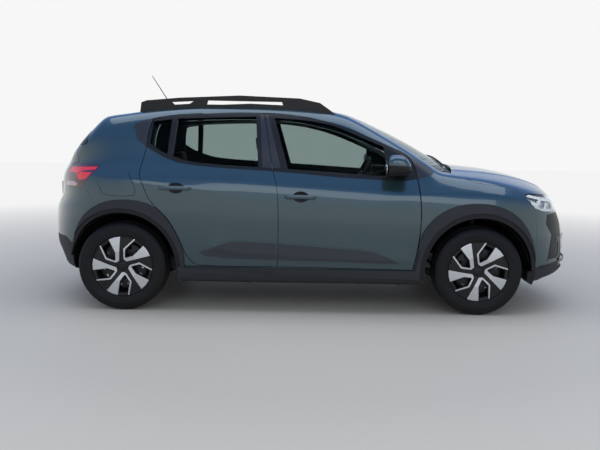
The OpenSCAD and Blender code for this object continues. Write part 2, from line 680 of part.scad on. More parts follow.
// Dark trim round the arches and along the sill
module cladding_right() {
  difference() {
    intersection() {
      shell(stations([-1620, -1460, -1290, -1080, -820, -520, 130, 460, 735, 900, 1060, 1190,
        1300, 1390, 1480]), [63, 78, 95, 104], flat_depth(-trim_out), flat_depth(-3.6));
      right_cut() {
        front_arch_out();
        rear_arch_out();
        box_between([along(-940), 267], [along(760), 330]);
      }
    }
    right_cut() arch_hole(front_x, -2);
    right_cut() arch_hole(rear_x, -2);
    right_cut() offset(delta = 1) polygon(rear_bumper_outline);
    right_cut() door_holes(shut / 2);
    // Room for the front edge of the open door
    right_cut() offset(delta = shut / 2 + 5) polygon(front_door_outline);
  }
}
module side_cladding() { color(black) both_sides() meshed() cladding_right(); }
module roof_rails() {
  color(black) both_sides() meshed() difference() {
    side_cut(-roof_side - 37, -roof_side - 7) difference() {
      polygon(side_line([[-1300, 1450], [-1290, 1526], [-1250, 1541], [-1003, 1564], [-552, 1587],
        [-102, 1572], [49, 1541], [178, 1452], [178, 1430], [0, 1474], [-176, 1488],
        [-477, 1496], [-852, 1484], [-1153, 1458]]));
      polygon(side_line([[-1063, 1531], [-897, 1541], [-927, 1520], [-1040, 1512]]));
      polygon(side_line([[-792, 1547], [-237, 1544], [-229, 1519], [-800, 1517]]));
    }
    shell(side_u, side_v, flat_depth(-fit), flat_depth(80));
  }
}

// Structure under and inside the skin
cabin_w = 2 * (half_w - sill_in);
heel_x = rear_x + 780;
rear_floor_z = 420;
rear_half = half_w - 315;
bulk_half = half_w - 250;
tunnel_half = 110;
module floor_pan() {
  color("#3a3d40") {
    translate([heel_x, -cabin_w / 2 + fit, floor_z + 6])
      cube([front_x - arch_r - 12 - fit - heel_x, cabin_w - 2 * fit, 24]);
    // Raised rear floor over the tank and axle
    translate([0, 0, rear_floor_z]) linear_extrude(20) plan_shape([[heel_x + 20, 0],
      [heel_x + 20, rear_half - fit], [rear_x - 330, rear_half - fit],
      [tail + 150, across(440)], [tail + 130, 0]]);
    translate([heel_x, -rear_half, floor_z + 6])
      cube([20, 2 * rear_half, rear_floor_z + 14 - floor_z]);
    translate([heel_x, -tunnel_half, floor_z + 26])
      cube([front_x - arch_r - 12 - fit - heel_x, 2 * tunnel_half, 90]);
    for (x = [front_x - arch_r - 160, rear_x + arch_r + 520], y = [-1, 1])
      translate([x, y * (half_w - sill_in - 60), floor_z - 14]) cylinder(r = pad_r, h = 30);
  }
}
module bulkhead() {
  color("#2b2e31") {
    translate([front_x - arch_r - 12, -bulk_half, floor_z + 6])
      cube([20 - fit, 2 * bulk_half, cowl_z - 90 - floor_z]);
    // Cowl shelf under the foot of the windscreen, with the seats of the bonnet hinges
    translate([front_x - arch_r + 6, -bulk_half, cowl_z - 150]) cube([240, 2 * bulk_half, 40]);
    for (y = [14 - bonnet_arm_y, bonnet_arm_y - 38])
      translate([bonnet_hinge[0] - 6, y, cowl_z - 112])
      cube([12, 24, bonnet_hinge[1] - hinge_r - fit - cowl_z + 112]);
  }
}
liner_r = arch_r - 8;
module liner(x, y_in, y_out) {
  translate([x, -y_in, hub_z]) rotate([90, 0, 0]) difference() {
    cylinder(r = liner_r, h = y_out - y_in);
    translate([0, 0, 12]) cylinder(r = liner_r - 10, h = y_out - y_in);
    translate([-liner_r - 1, -liner_r - 1, -1])
      cube([2 * liner_r + 2, liner_r + 71, y_out - y_in + 2]);
  }
  // Flange that bolts to the bulkhead or the tank side
  translate([x - liner_r, -y_in - 12, hub_z + 71]) cube([30, 12, 130]);
}
module wheel_houses() {
  color(black) both_sides() {
    liner(front_x, track_half - 325, half_w - 90);
    liner(rear_x, rear_half, half_w - 80);
  }
}
module dashboard() {
  color("#26282b") {
    side_cut(10 - bulk_half, bulk_half - 10) polygon(concat([[front_x - arch_r - 12 - fit, 985]],
      side_line([[620, 1050], [500, 1035], [450, 980], [460, 880], [560, 780], [600, 620]]),
      [[front_x - arch_r - 12 - fit, 600]]));
    // Steering column
    translate(steer_at) rotate([0, 180 - steer_lean, 0]) translate([0, 0, 20 + fit])
      cylinder(r = 34, h = 260);
  }
}
module round_box(l, h, r) {
  translate([r, 0]) square([l - 2 * r, h]);
  translate([0, r]) square([l, h - 2 * r]);
  for (x = [r, l - r], y = [r, h - r]) translate([x, y]) circle(r);
}
module pad_shape(x, z, l, h, w, lean_a) {
  translate([x, 0, z]) rotate([0, lean_a, 0]) rotate([90, 0, 0]) linear_extrude(w, center = true)
    round_box(l, h, 38);
}
// Rear end of the front seats' cushions, and the middle of each seat
seat_x = along(-190);
seat_y = across(360);
module front_seat() {
  pad_shape(seat_x, floor_z + 170, 500, 150, seat_w, -6);
  pad_shape(seat_x + 40, floor_z + 250, 130, 620, seat_w - 20, -22);
  pad_shape(seat_x - 210, floor_z + 880, 90, 200, 260, -14);
  for (y = [-60, 60]) translate([seat_x - 140, y, floor_z + 800]) rotate([0, -18, 0])
    cylinder(r = 8, h = 160);
  translate([seat_x + 40, -seat_w / 2 + 40, floor_z + 30]) cube([420, 60, 150]);
  translate([seat_x + 40, seat_w / 2 - 100, floor_z + 30]) cube([420, 60, 150]);
}
module front_seats() {
  color("#33363a") for (side = [-1, 1]) translate([0, side * seat_y, 0]) front_seat();
}
bench_x = rear_x + 431.5;
module rear_seat() {
  color("#33363a") {
    pad_shape(bench_x, rear_floor_z + 17.2, 480, 130, 2 * rear_half - 20, -5);
    pad_shape(bench_x + 20, rear_floor_z + 60, 130, 560, 2 * rear_half, -24);
    for (side = [-1, 1]) translate([0, side * across(380), 0])
      pad_shape(bench_x - 220, rear_floor_z + 570, 80, 150, 250, -16);
  }
}
// Where the driver's wheel is held, and how its column leans
steer_at = [along(375), -across(375), 975];
steer_lean = 66;
module steering_wheel() {
  color("#222427") translate(steer_at) rotate([0, -steer_lean, 0]) {
    rotate_extrude() translate([steer_d / 2 - 15, 0]) circle(15);
    cylinder(r = 62, h = 40, center = true);
    for (a = [90, 180, 270]) rotate(a) translate([40, -16, -8]) cube([steer_d / 2 - 55, 32, 16]);
  }
}

// Steering axis of a front wheel, leaning inward to the top
king_low = [front_x, 690, 200];
king_high = [front_x, 540, 880];
king_tilt = atan2(king_low[1] - king_high[1], king_high[2] - king_low[2]);
hub_r = 62;
hub_face = 34;
bore_r = 28;
// Hub from the wheel's seat inward: flange, brake and carrier, with the centring spigot
module hub(x, brake_r, brake_w, inner) {
  translate([x, -track_half - hub_face + fit, hub_z]) rotate([-90, 0, 0]) {
    translate([0, 0, -24]) cylinder(r = bore_r - fit / 2, h = 30);
    cylinder(r = hub_r, h = 54);
    translate([0, 0, 52 - brake_w / 2]) cylinder(r = brake_r, h = brake_w);
    translate([0, 0, 54]) cylinder(r = 44, h = inner);
  }
}
module knuckle() {
  hub(front_x, 130, 24, 96);
  // Lower joint and strut along the steering axis
  translate([front_x, -king_low[1] + 23 * tan(king_tilt), 223]) rotate([-king_tilt, 0, 0]) {
    cylinder(r = 20, h = 90);
    translate([0, 0, 80]) cylinder(r = 30, h = 150);
    cylinder(r = 20, h = 470);
  }
}
module knuckle_right() { color("#5a5d60") knuckle(); }
module knuckle_left() { color("#5a5d60") mirror([0, 1, 0]) knuckle(); }
module rear_axle() {
  color("#44474a") {
    translate([rear_x + 330, 207 - track_half, 300]) rotate([-90, 0, 0])
      cylinder(r = 42, h = 2 * (track_half - 207));
    both_sides() {
      translate([rear_x - 50, 197 - track_half, 286]) cube([400, 60, 70]);
      hub(rear_x, 115, 64, 190);
      translate([rear_x + 60, 267 - track_half, 300]) cylinder(r = 50, h = rear_floor_z - fit - 300);
    }
  }
}
module front_subframe() {
  color("#44474a") {
    translate([front_x - 212, -330, 195]) cube([330, 660, 50]);
    both_sides() {
      hull() {
        translate([front_x - 150, -320, 195]) cylinder(r = 28, h = 23 - fit, $fn = 20);
        translate([front_x, -king_low[1], 195]) cylinder(r = 24, h = 23 - fit, $fn = 20);
      }
      // Lower ball joint on the steering axis
      translate([front_x, -king_low[1] + 23 * tan(king_tilt), 223]) rotate([-king_tilt, 0, 0])
        translate([0, 0, -24]) cylinder(r = 22, h = 24 - fit);
      translate([front_x + 60, -330, 195]) cube([350, 60, 50]);
      translate([front_x + 360, -330, 240]) cube([50, 60, 200]);
      translate([front_x + 360, -330, 390]) cube([290, 60, 50]);
      translate([front_x - 392, -330, 211]) cube([200, 60, 34]);
    }
    translate([front_x + 600, -across(500), 380]) cube([50, 2 * across(500), 110]);
  }
}
module engine_block() {
  color("#5b5e61") translate([front_x - 190, -400, 245 + fit]) cube([480, 800, 520]);
}
module exhaust() {
  color("#7a7d80") {
    translate([rear_x + 440, 0, 178]) rotate([0, 90, 0]) cylinder(r = 26, h = wheelbase - 904);
    translate([rear_x - 440, -220, 245]) cube([200, 440, rear_floor_z - fit - 245]);
    translate([rear_x - 250, 0, 270]) rotate([0, 97, 0]) cylinder(r = 24, h = 720);
  }
}
module fuel_tank() {
  color("#2f3133") translate([heel_x - 330, 95 - rear_half, floor_z + 14])
    cube([310, 2 * (rear_half - 95), rear_floor_z - fit - floor_z - 14]);
}

// Wheels, made round Z with the outer face up, then laid on the right side
module lay_wheel(x, side) {
  translate([x, -side * track_half, hub_z]) rotate([side > 0 ? 90 : -90, 0, 0]) children();
}
half_tyre = tyre_w / 2;
module tyre() {
  color("#17181a") rotate_extrude($fn = 96) polygon([[rim_r + 1 + fit, -half_tyre + 28],
    [rim_r + 10, -half_tyre + 24], [rim_r + 17, -half_tyre + 24],
    [rim_r + 17, -half_tyre + 10], [tyre_r - 64, -half_tyre], [tyre_r - 36, -half_tyre + 2],
    [tyre_r - 13, -half_tyre + 13], [tyre_r - 4, -half_tyre + 28], [tyre_r, -half_tyre + 60],
    [tyre_r, half_tyre - 60], [tyre_r - 4, half_tyre - 28], [tyre_r - 13, half_tyre - 13],
    [tyre_r - 36, half_tyre - 2], [tyre_r - 64, half_tyre], [rim_r + 17, half_tyre - 10],
    [rim_r + 17, half_tyre - 24], [rim_r + 10, half_tyre - 24],
    [rim_r + 1 + fit, half_tyre - 28]]);
}
// One broad blade of the cover, from the hub to the rim
hub_cap_r = 36;
step = 360 / blades;
face = half_tyre - 10;
module ray_shape(pts) {
  polygon([for (p = pts) [p[0] * cos(p[1]), p[0] * sin(p[1])]]);
}
blade_shape = [[40, 10], [118, -10], [cover_r - 4, -10.5], [cover_r - 4, 0], [cover_r - 4, 10.5],
  [118, 14], [60, 18]];
window_shape = [[72, 34], [118, 15], [cover_r - 16, 13], [cover_r - 16, 29], [128, 43]];
disc_window_shape = [[84, 34], [118, 17], [cover_r - 36, 15], [cover_r - 36, 29], [124, 41]];
module rim() {
  color("#9a9ea3") {
    // Barrel with its two flanges
    rotate_extrude($fn = 96) polygon([[rim_r - 12, -84], [rim_r + 16, -90], [rim_r + 16, -82],
      [rim_r + 1, -78], [rim_r + 1, 76], [rim_r + 16, 82], [rim_r + 16, 88],
      [rim_r - 12, 84]]);
    // Cover with its windows
    difference() {
      translate([0, 0, face - 12]) cylinder(r = cover_r - 2, h = 8);
      for (i = [0:blades - 1]) rotate(i * step) translate([0, 0, face - 13])
        linear_extrude(10) ray_shape(window_shape);
    }
    for (i = [0:blades - 1]) rotate(i * step) translate([0, 0, face - 5])
      linear_extrude(9) ray_shape(blade_shape);
    translate([0, 0, face - 5]) cylinder(r = hub_cap_r, h = 7);
    // Steel disc and centre that bolt to the hub
    difference() {
      union() {
        translate([0, 0, hub_face]) cylinder(r = 70, h = face - 12 - hub_face);
        translate([0, 0, 48]) cylinder(r = rim_r - 11, h = 8);
      }
      translate([0, 0, hub_face - 1]) cylinder(r = bore_r, h = 32);
      for (i = [0:blades - 1]) rotate(i * step) translate([0, 0, 40])
        linear_extrude(20) ray_shape(disc_window_shape);
    }
  }
}
module tyre_front_right() { lay_wheel(front_x, 1) tyre(); }
module tyre_front_left() { lay_wheel(front_x, -1) tyre(); }
module tyre_rear_right() { lay_wheel(rear_x, 1) tyre(); }
module tyre_rear_left() { lay_wheel(rear_x, -1) tyre(); }
module rim_front_right() { lay_wheel(front_x, 1) rotate(45.3) rim(); }
module rim_front_left() { lay_wheel(front_x, -1) rotate(8) rim(); }
module rim_rear_right() { lay_wheel(rear_x, 1) rotate(33) rim(); }
module rim_rear_left() { lay_wheel(rear_x, -1) rotate(54) rim(); }

floor_pan();
body_sides();
roof_panel();
bulkhead();
wheel_houses();
front_fenders();
front_bumper();
rear_bumper();
side_cladding();
roof_rails();
windscreen();
headlamps();
tail_lamps();
grille();
dashboard();
front_seats();
rear_seat();
rear_axle();
front_subframe();
engine_block();
exhaust();
fuel_tank();
knuckle_right();
knuckle_left();
rim_front_right();
rim_front_left();
rim_rear_right();
rim_rear_left();
tyre_front_right();
tyre_front_left();
tyre_rear_right();
tyre_rear_left();
door_front_right();
door_front_left();
door_rear_right();
door_rear_left();
glass_front_right();
glass_front_left();
glass_rear_right();
glass_rear_left();
bonnet();
tailgate();
tailgate_glass();
fuel_flap();
steering_wheel();
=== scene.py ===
import bpy
import math
import numpy as np
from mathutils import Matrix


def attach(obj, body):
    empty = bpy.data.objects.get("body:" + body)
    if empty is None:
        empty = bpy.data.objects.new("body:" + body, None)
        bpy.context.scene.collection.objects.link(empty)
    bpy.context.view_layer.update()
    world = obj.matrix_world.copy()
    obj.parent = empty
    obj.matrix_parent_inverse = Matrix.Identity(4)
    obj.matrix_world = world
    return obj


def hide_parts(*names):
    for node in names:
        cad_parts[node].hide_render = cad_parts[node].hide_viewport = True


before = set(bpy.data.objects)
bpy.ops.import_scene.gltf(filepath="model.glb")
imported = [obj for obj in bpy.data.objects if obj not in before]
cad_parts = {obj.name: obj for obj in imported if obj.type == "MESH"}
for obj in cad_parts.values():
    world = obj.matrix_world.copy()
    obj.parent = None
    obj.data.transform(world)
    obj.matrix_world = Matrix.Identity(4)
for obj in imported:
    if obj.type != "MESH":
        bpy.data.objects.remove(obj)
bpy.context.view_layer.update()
mm = 0.001


# The body's skin, measured in mm in the frame of the part

bodySkin = {"length": 4099, "width": 1780, "roof": 1535, "cowl": 1086, "floor": 205,
            "belt": 1008, "frontAxle": 1222.5, "rearAxle": -1381.5, "hub": 326,
            "noseSquare": 2.55, "tailSquare": 2.3, "bow": 650, "screenBow": 120,
            "hatchBow": 55, "crown": 30, "bonnetCrown": 48, "blend": 70, "coreHeight": 640}
nose = bodySkin["length"] / 2
tail = -nose
frontX = bodySkin["frontAxle"]
rearX = bodySkin["rearAxle"]
roofZ = bodySkin["roof"]
cowlZ = bodySkin["cowl"]
floorZ = bodySkin["floor"]
beltZ = bodySkin["belt"]
hubZ = bodySkin["hub"]
halfW = bodySkin["width"] / 2
coreFront = frontX - 70
coreRear = rearX + 120

topLine = [[tail - 10, 880], [tail + 60, 985], [tail + 98, 1040], [tail + 137, 1084],
           [tail + 201, 1170], [tail + 280, 1263], [tail + 359, roofZ - 186],
           [tail + 405, roofZ - 138], [tail + 452, roofZ - 101], [tail + 512, roofZ - 86],
           [tail + 592, roofZ - 74], [tail + 744, roofZ - 53], [rearX + 231, roofZ - 36],
           [rearX + 531, roofZ - 10], [rearX + 932, roofZ], [rearX + 1131, roofZ - 2],
           [frontX - 1272, roofZ - 12], [frontX - 1072, roofZ - 35],
           [frontX - 915, roofZ - 68], [frontX - 689, cowlZ + 286],
           [frontX - 461, cowlZ + 176], [frontX - 309, cowlZ + 92],
           [frontX - 232, cowlZ + 51], [frontX - 150, cowlZ + 8], [frontX - 110, cowlZ - 1],
           [frontX - 70, cowlZ - 4], [frontX + 18, cowlZ - 11], [frontX + 177, cowlZ - 28],
           [nose - 491, cowlZ - 57], [nose - 332, cowlZ - 102], [nose - 212, cowlZ - 155],
           [nose - 130, cowlZ - 224], [nose - 85, cowlZ - 286], [nose + 10, cowlZ - 440]]
widthLine = [[150, halfW - 95], [floorZ + 30, halfW - 52], [285, halfW - 26],
             [340, halfW - 14], [450, halfW - 6], [600, halfW - 1], [710, halfW],
             [800, halfW - 3], [880, halfW - 12], [930, halfW - 25], [985, halfW - 52],
             [1040, halfW - 82], [1100, halfW - 106], [1200, halfW - 140],
             [1300, halfW - 179], [1400, halfW - 226], [1450, halfW - 256],
             [1500, halfW - 300], [1560, halfW - 380]]
riseLine = [[tail, 30], [rearX - 120, 42], [rearX + 80, 52], [-600, 28], [-93, 0],
            [500, -36], [1200, -70], [nose, -80]]
noseLine = [[150, 230], [238, 150], [275, 56], [322, 9], [361, 0], [415, 5], [531, 18],
            [593, 24], [670, 39], [747, 54], [801, 58], [860, 70], [1000, 110], [1200, 200]]
tailLine = [[150, 250], [250, 150], [280, 74], [328, 52], [391, 28], [438, 8], [494, 0],
            [691, 0], [738, 8], [790, 34], [830, 48], [926, 50], [988, 56], [1035, 66],
            [1100, 88], [1250, 120], [1400, 168], [1500, 220]]


def lineTable(line, steps):
    # Smooth curve through the points, as a fine table
    slopes = []
    for i in range(len(line)):
        a, b = max(0, i - 1), min(len(line) - 1, i + 1)
        slopes.append((line[b][1] - line[a][1]) / (line[b][0] - line[a][0]))
    table = []
    for i in range(len(line) - 1):
        run = line[i + 1][0] - line[i][0]
        for k in range(steps):
            t = k / steps
            s = t * t * (3 - 2 * t)
            bend = t * (1 - t) ** 2 * slopes[i] - t * t * (1 - t) * slopes[i + 1]
            table.append([line[i][0] + t * run,
                          line[i][1] + s * (line[i + 1][1] - line[i][1]) + run * bend])
    table.append(line[-1])
    return np.array(table, dtype=float).T


topTable = lineTable(topLine, 10)
widthTable = lineTable(widthLine, 10)
riseTable = lineTable(riseLine, 10)
noseTable = lineTable(noseLine, 10)
tailTable = lineTable(tailLine, 10)


def ramp(a, b, x):
    t = np.clip((x - a) / (b - a), 0, 1)
    return t * t * (3 - 2 * t)


def topHeight(x, y):
    q = (y / bodySkin["bow"]) ** 2
    bow = (bodySkin["screenBow"] * ramp(-300, 700, x)
           - bodySkin["hatchBow"] * ramp(-900, -1500, x))
    drop = bodySkin["crown"] + (bodySkin["bonnetCrown"] - bodySkin["crown"]) * ramp(700, 1100, x)
    return np.interp(x + bow * q, *topTable) - drop * q


def sideGap(x, y, z):
    w = np.interp(z - np.interp(x, *riseTable), *widthTable)
    across = np.abs(y) / w
    noseRound = frontX - 80
    tailRound = rearX + 60
    n, m = bodySkin["noseSquare"], bodySkin["tailSquare"]
    noseRun = nose - np.interp(z, *noseTable) - noseRound
    tailRun = tailRound - tail - np.interp(z, *tailTable) + 210 * ramp(1040, 1300, z)
    ahead = np.maximum(x - noseRound, 0) / noseRun
    behind = np.maximum(tailRound - x, 0) / tailRun
    atNose = w * ((across ** n + ahead ** n) ** (1 / n) - 1)
    atTail = w * ((across ** m + behind ** m) ** (1 / m) - 1)
    return np.where(x > noseRound, atNose, np.where(x < tailRound, atTail, w * (across - 1)))


def blendMax(a, b, k):
    h = np.maximum(0, k - np.abs(a - b))
    return np.maximum(a, b) + h * h / (4 * k)


# Crests pressed into the panels, each by its line and how far it stands out
crests = {
    "shoulder": {"line": [[-1800, 1010], [-1500, 985], [-1200, 952], [-900, 916], [-500, 880]],
                 "out": 7, "above": 26, "below": 70, "fadeRear": 90, "fadeFront": 420},
    "fender": {"line": [[420, 868], [800, 893], [1100, 905], [1400, 884], [1560, 862]],
               "out": 6, "above": 26, "below": 70, "fadeRear": 380, "fadeFront": 120},
    "scallop": {"line": [[-840, 500], [-500, 440], [0, 412], [740, 400]],
                "out": 5, "above": 70, "below": 26, "fadeRear": 160, "fadeFront": 60},
}
bonnetRidge = {"line": [[1010, 520], [1300, 470], [1600, 395], [1860, 300]], "out": 6,
               "inner": 60, "outer": 26}


def relief(x, y, z):
    # How far the crests lift the skin at a place
    total = np.zeros_like(x)
    onSide = ramp(500, 700, np.abs(y))
    for crest in crests.values():
        line = np.array(crest["line"], dtype=float).T
        above = z - np.interp(x, *line)
        reach = np.where(above > 0, crest["above"], crest["below"])
        fade = (ramp(line[0][0], line[0][0] + crest["fadeRear"], x)
                * ramp(line[0][-1], line[0][-1] - crest["fadeFront"], x))
        total = total + crest["out"] * np.exp(-np.abs(above) / reach) * fade * onSide
    line = np.array(bonnetRidge["line"], dtype=float).T
    aside = np.abs(y) - np.interp(x, *line)
    reach = np.where(aside > 0, bonnetRidge["outer"], bonnetRidge["inner"])
    onTop = ramp(820, 900, z) * ramp(1000, 1120, x) * ramp(1900, 1760, x)
    return total + bonnetRidge["out"] * np.exp(-np.abs(aside) / reach) * onTop


def skinGap(x, y, z):
    top = 0.85 * (z - topHeight(x, y))
    gap = blendMax(sideGap(x, y, z), top, bodySkin["blend"])
    return blendMax(gap, floorZ - z, 50) - relief(x, y, z)


def skinPoints(us, vs, depth, end=0):
    # Points on the skin for a grid of stations and angles, in the same way as the part
    u, v = np.meshgrid(np.array(us, float), np.radians(np.array(vs, float)), indexing="ij")
    if end == 0:
        lean = np.radians(np.where(u > coreFront, 90 * (u - coreFront) / (nose - coreFront),
                          np.where(u < coreRear, -90 * (coreRear - u) / (coreRear - tail), 0)))
        start = np.stack([np.clip(u, coreRear, coreFront), 0 * u,
                          0 * u + bodySkin["coreHeight"]], -1)
        way = np.stack([np.sin(lean), -np.cos(lean) * np.sin(v), -np.cos(lean) * np.cos(v)], -1)
    else:
        u = np.radians(u)
        start = np.stack([0 * u + (coreFront if end > 0 else coreRear), 0 * u,
                          0 * u + bodySkin["coreHeight"]], -1)
        way = np.stack([end * np.cos(v) * np.cos(u), end * np.cos(v) * np.sin(u), np.sin(v)], -1)
    near = np.full(u.shape, 60.0)
    far = np.full(u.shape, 1500.0)
    depthTable = None if np.isscalar(depth) else np.array(depth, float).T
    for i in range(26):
        middle = (near + far) / 2
        p = start + way * middle[..., None]
        sunk = depth if depthTable is None else np.interp(p[..., 2], *depthTable)
        inside = skinGap(p[..., 0], p[..., 1], p[..., 2]) + sunk < 0
        near = np.where(inside, middle, near)
        far = np.where(inside, far, middle)
    return start + way * ((near + far) / 2)[..., None]


def spread(a, b, step):
    return np.linspace(a, b, max(2, int(abs(b - a) / step) + 1))


# Small helpers round Blender's own operators

def pickOnly(obj):
    bpy.ops.object.select_all(action="DESELECT")
    obj.select_set(True)
    bpy.context.view_layer.objects.active = obj


def newObject(name):
    obj = bpy.context.active_object
    obj.name = name
    obj.data.name = name
    return obj


def applyModifier(obj, kind, **values):
    pickOnly(obj)
    modifier = obj.modifiers.new(kind.title(), kind)
    for key, value in values.items():
        setattr(modifier, key, value)
    bpy.ops.object.modifier_apply(modifier=modifier.name)
    return obj


def applyPlace(obj):
    pickOnly(obj)
    bpy.ops.object.transform_apply(location=True, rotation=True, scale=True)
    return obj


def smoothBy(obj, degrees=32):
    pickOnly(obj)
    bpy.ops.object.shade_smooth_by_angle(angle=math.radians(degrees))
    return obj


def faceOut(obj):
    pickOnly(obj)
    bpy.ops.object.mode_set(mode="EDIT")
    bpy.ops.mesh.select_all(action="SELECT")
    bpy.ops.mesh.normals_make_consistent(inside=False)
    bpy.ops.object.mode_set(mode="OBJECT")
    return obj


def skinShell(name, us, vs, outer, inner, end=0):
    # A grid laid on the skin, given its thickness by Solidify and then its inner surface
    bpy.ops.object.select_all(action="DESELECT")
    bpy.ops.mesh.primitive_grid_add(x_subdivisions=len(vs) - 1, y_subdivisions=len(us) - 1, size=1)
    obj = newObject(name)
    outside = skinPoints(us, vs, outer, end).reshape(-1, 3) * mm
    inside = skinPoints(us, vs, inner, end).reshape(-1, 3) * mm
    obj.data.vertices.foreach_set("co", outside.ravel())
    obj.data.update()
    applyModifier(obj, "SOLIDIFY", thickness=0.002, offset=-1)
    obj.data.vertices.foreach_set("co", np.concatenate([outside, inside]).ravel())
    obj.data.update()
    return faceOut(obj)


def prism(points, along, low, high):
    # An outline drawn on a disc, then extruded: along y it is seen from the right, and so on
    bpy.ops.object.select_all(action="DESELECT")
    bpy.ops.mesh.primitive_circle_add(vertices=len(points), radius=1, fill_type="NGON")
    obj = newObject("outline")
    at = {"x": lambda p: (low, p[0], p[1]), "y": lambda p: (p[0], low, p[1]),
          "z": lambda p: (p[0], p[1], low)}[along]
    place = np.array([at(p) for p in points], dtype=float) * mm
    obj.data.vertices.foreach_set("co", place.ravel())
    obj.data.update()
    move = {"x": (1, 0, 0), "y": (0, 1, 0), "z": (0, 0, 1)}[along]
    bpy.ops.object.mode_set(mode="EDIT")
    bpy.ops.mesh.select_all(action="SELECT")
    bpy.ops.mesh.extrude_region_move(
        TRANSFORM_OT_translate={"value": [c * (high - low) * mm for c in move]})
    bpy.ops.object.mode_set(mode="OBJECT")
    return faceOut(obj)


def remove(obj):
    bpy.data.objects.remove(obj, do_unlink=True)


def cut(obj, tool, keep=False, how="DIFFERENCE"):
    applyModifier(obj, "BOOLEAN", operation=how, solver="MANIFOLD", object=tool)
    if not keep:
        remove(tool)
    return obj


def within(obj, points, along, low, high):
    return cut(obj, prism(points, along, low, high), how="INTERSECT")


def joined(name, objs):
    bpy.ops.object.select_all(action="DESELECT")
    for obj in objs:
        obj.select_set(True)
    bpy.context.view_layer.objects.active = objs[0]
    bpy.ops.object.join()
    return newObject(name)


def mirrored(obj, name):
    # The same piece on the left side, with a mesh of its own
    pickOnly(obj)
    bpy.ops.object.duplicate()
    twin = newObject(name)
    twin.scale.y = -1
    applyPlace(twin)
    return faceOut(twin)


def grown(points, by):
    # The outline moved outwards by this much, or inwards by less than nothing
    pts = np.array(points, float)
    area = np.sum(pts[:, 0] * np.roll(pts[:, 1], -1) - np.roll(pts[:, 0], -1) * pts[:, 1])
    turn = 1 if area > 0 else -1
    result = []
    for i in range(len(pts)):
        a = pts[i] - pts[i - 1]
        b = pts[(i + 1) % len(pts)] - pts[i]
        na = np.array([a[1], -a[0]]) / (np.hypot(*a) + 1e-9) * turn
        nb = np.array([b[1], -b[0]]) / (np.hypot(*b) + 1e-9) * turn
        both = na + nb
        result.append(list(pts[i] + by * both / max(0.35, np.dot(both, both) / 2)))
    return result


def softLine(points, steps=5, corner=38, closed=True):
    # Smooth curve through an outline's points, which keeps its real corners
    pts = np.array(points, float)
    count = len(pts)
    sharp = []
    for i in range(count):
        a = pts[i] - pts[i - 1]
        b = pts[(i + 1) % count] - pts[i]
        bend = abs(math.degrees(math.atan2(a[0] * b[1] - a[1] * b[0], np.dot(a, b))))
        sharp.append(bend > corner)
    result = []
    for i in range(count if closed else count - 1):
        p, q = pts[i], pts[(i + 1) % count]
        before, after = pts[i - 1], pts[(i + 2) % count]
        run = np.hypot(*(q - p))
        m0 = (q - p) if sharp[i] else (q - before) * run / (run + np.hypot(*(p - before)))
        m1 = (q - p) if sharp[(i + 1) % count] else (after - p) * run / (run + np.hypot(*(after - q)))
        for k in range(steps):
            t = k / steps
            result.append(list(p * (1 + 2 * t) * (1 - t) ** 2 + m0 * t * (1 - t) ** 2
                               + q * t * t * (3 - 2 * t) - m1 * t * t * (1 - t)))
    return result


def halfShape(half):
    return half + [[p[0], -p[1]] for p in reversed(half) if abs(p[1]) > 0.01]


def rearShape(half):
    return half + [[-p[0], p[1]] for p in reversed(half) if abs(p[0]) > 0.01]


def sideY(x, z):
    # Half width of the body at a place on its flank
    w = float(np.interp(z - np.interp(x, *riseTable), *widthTable))
    return w + float(relief(np.array([float(x)]), np.array([-w]), np.array([float(z)]))[0])


def skinEnd(y, z, way=1):
    # How far the skin reaches at a place on the nose, or on the tail with way = -1
    xs = np.linspace(1500, nose + 5, 800) if way > 0 else np.linspace(-1500, tail - 5, 800)
    return float(xs[np.argmax(skinGap(xs, np.full(800, float(y)), np.full(800, float(z))) > 0)])


def sidePatch(name, line, outer, inner, step=12):
    # A patch of the right side, within an outline drawn from the side
    low, high = np.min(line, axis=0), np.max(line, axis=0)
    ends = [90 + math.degrees(math.atan2(z - bodySkin["coreHeight"], sideY(-300, z)))
            for z in (low[1] - 25, high[1] + 35)]
    obj = skinShell(name, spread(low[0] - step, high[0] + step, step),
                    spread(ends[0] - 2, ends[1] + 3, step / 13), outer, inner)
    return within(obj, line, "y", -1100, -60)


def lofted(name, rings):
    # A skin through rings of points, with both ends filled
    count = len(rings[0])
    bpy.ops.object.select_all(action="DESELECT")
    bpy.ops.mesh.primitive_grid_add(x_subdivisions=count, y_subdivisions=len(rings) - 1, size=1)
    obj = newObject(name)
    place = np.array([list(ring) + [ring[0]] for ring in rings], dtype=float).reshape(-1, 3) * mm
    obj.data.vertices.foreach_set("co", place.ravel())
    obj.data.update()
    pickOnly(obj)
    bpy.ops.object.mode_set(mode="EDIT")
    bpy.ops.mesh.select_all(action="SELECT")
    bpy.ops.mesh.remove_doubles(threshold=0.00001)
    bpy.ops.mesh.select_all(action="SELECT")
    bpy.ops.mesh.fill_holes(sides=0)
    bpy.ops.object.mode_set(mode="OBJECT")
    return faceOut(obj)


def ovalRing(centre, a, b, sides=20, along="x", power=1.0):
    # Points of an oval across one axis
    ring = []
    for i in range(sides):
        t = math.tau * i / sides
        c, s = math.cos(t), math.sin(t)
        p = a * math.copysign(abs(c) ** power, c)
        q = b * math.copysign(abs(s) ** power, s)
        ring.append({"x": [centre[0], centre[1] + p, centre[2] + q],
                     "y": [centre[0] + p, centre[1], centre[2] + q],
                     "z": [centre[0] + p, centre[1] + q, centre[2]]}[along])
    return ring


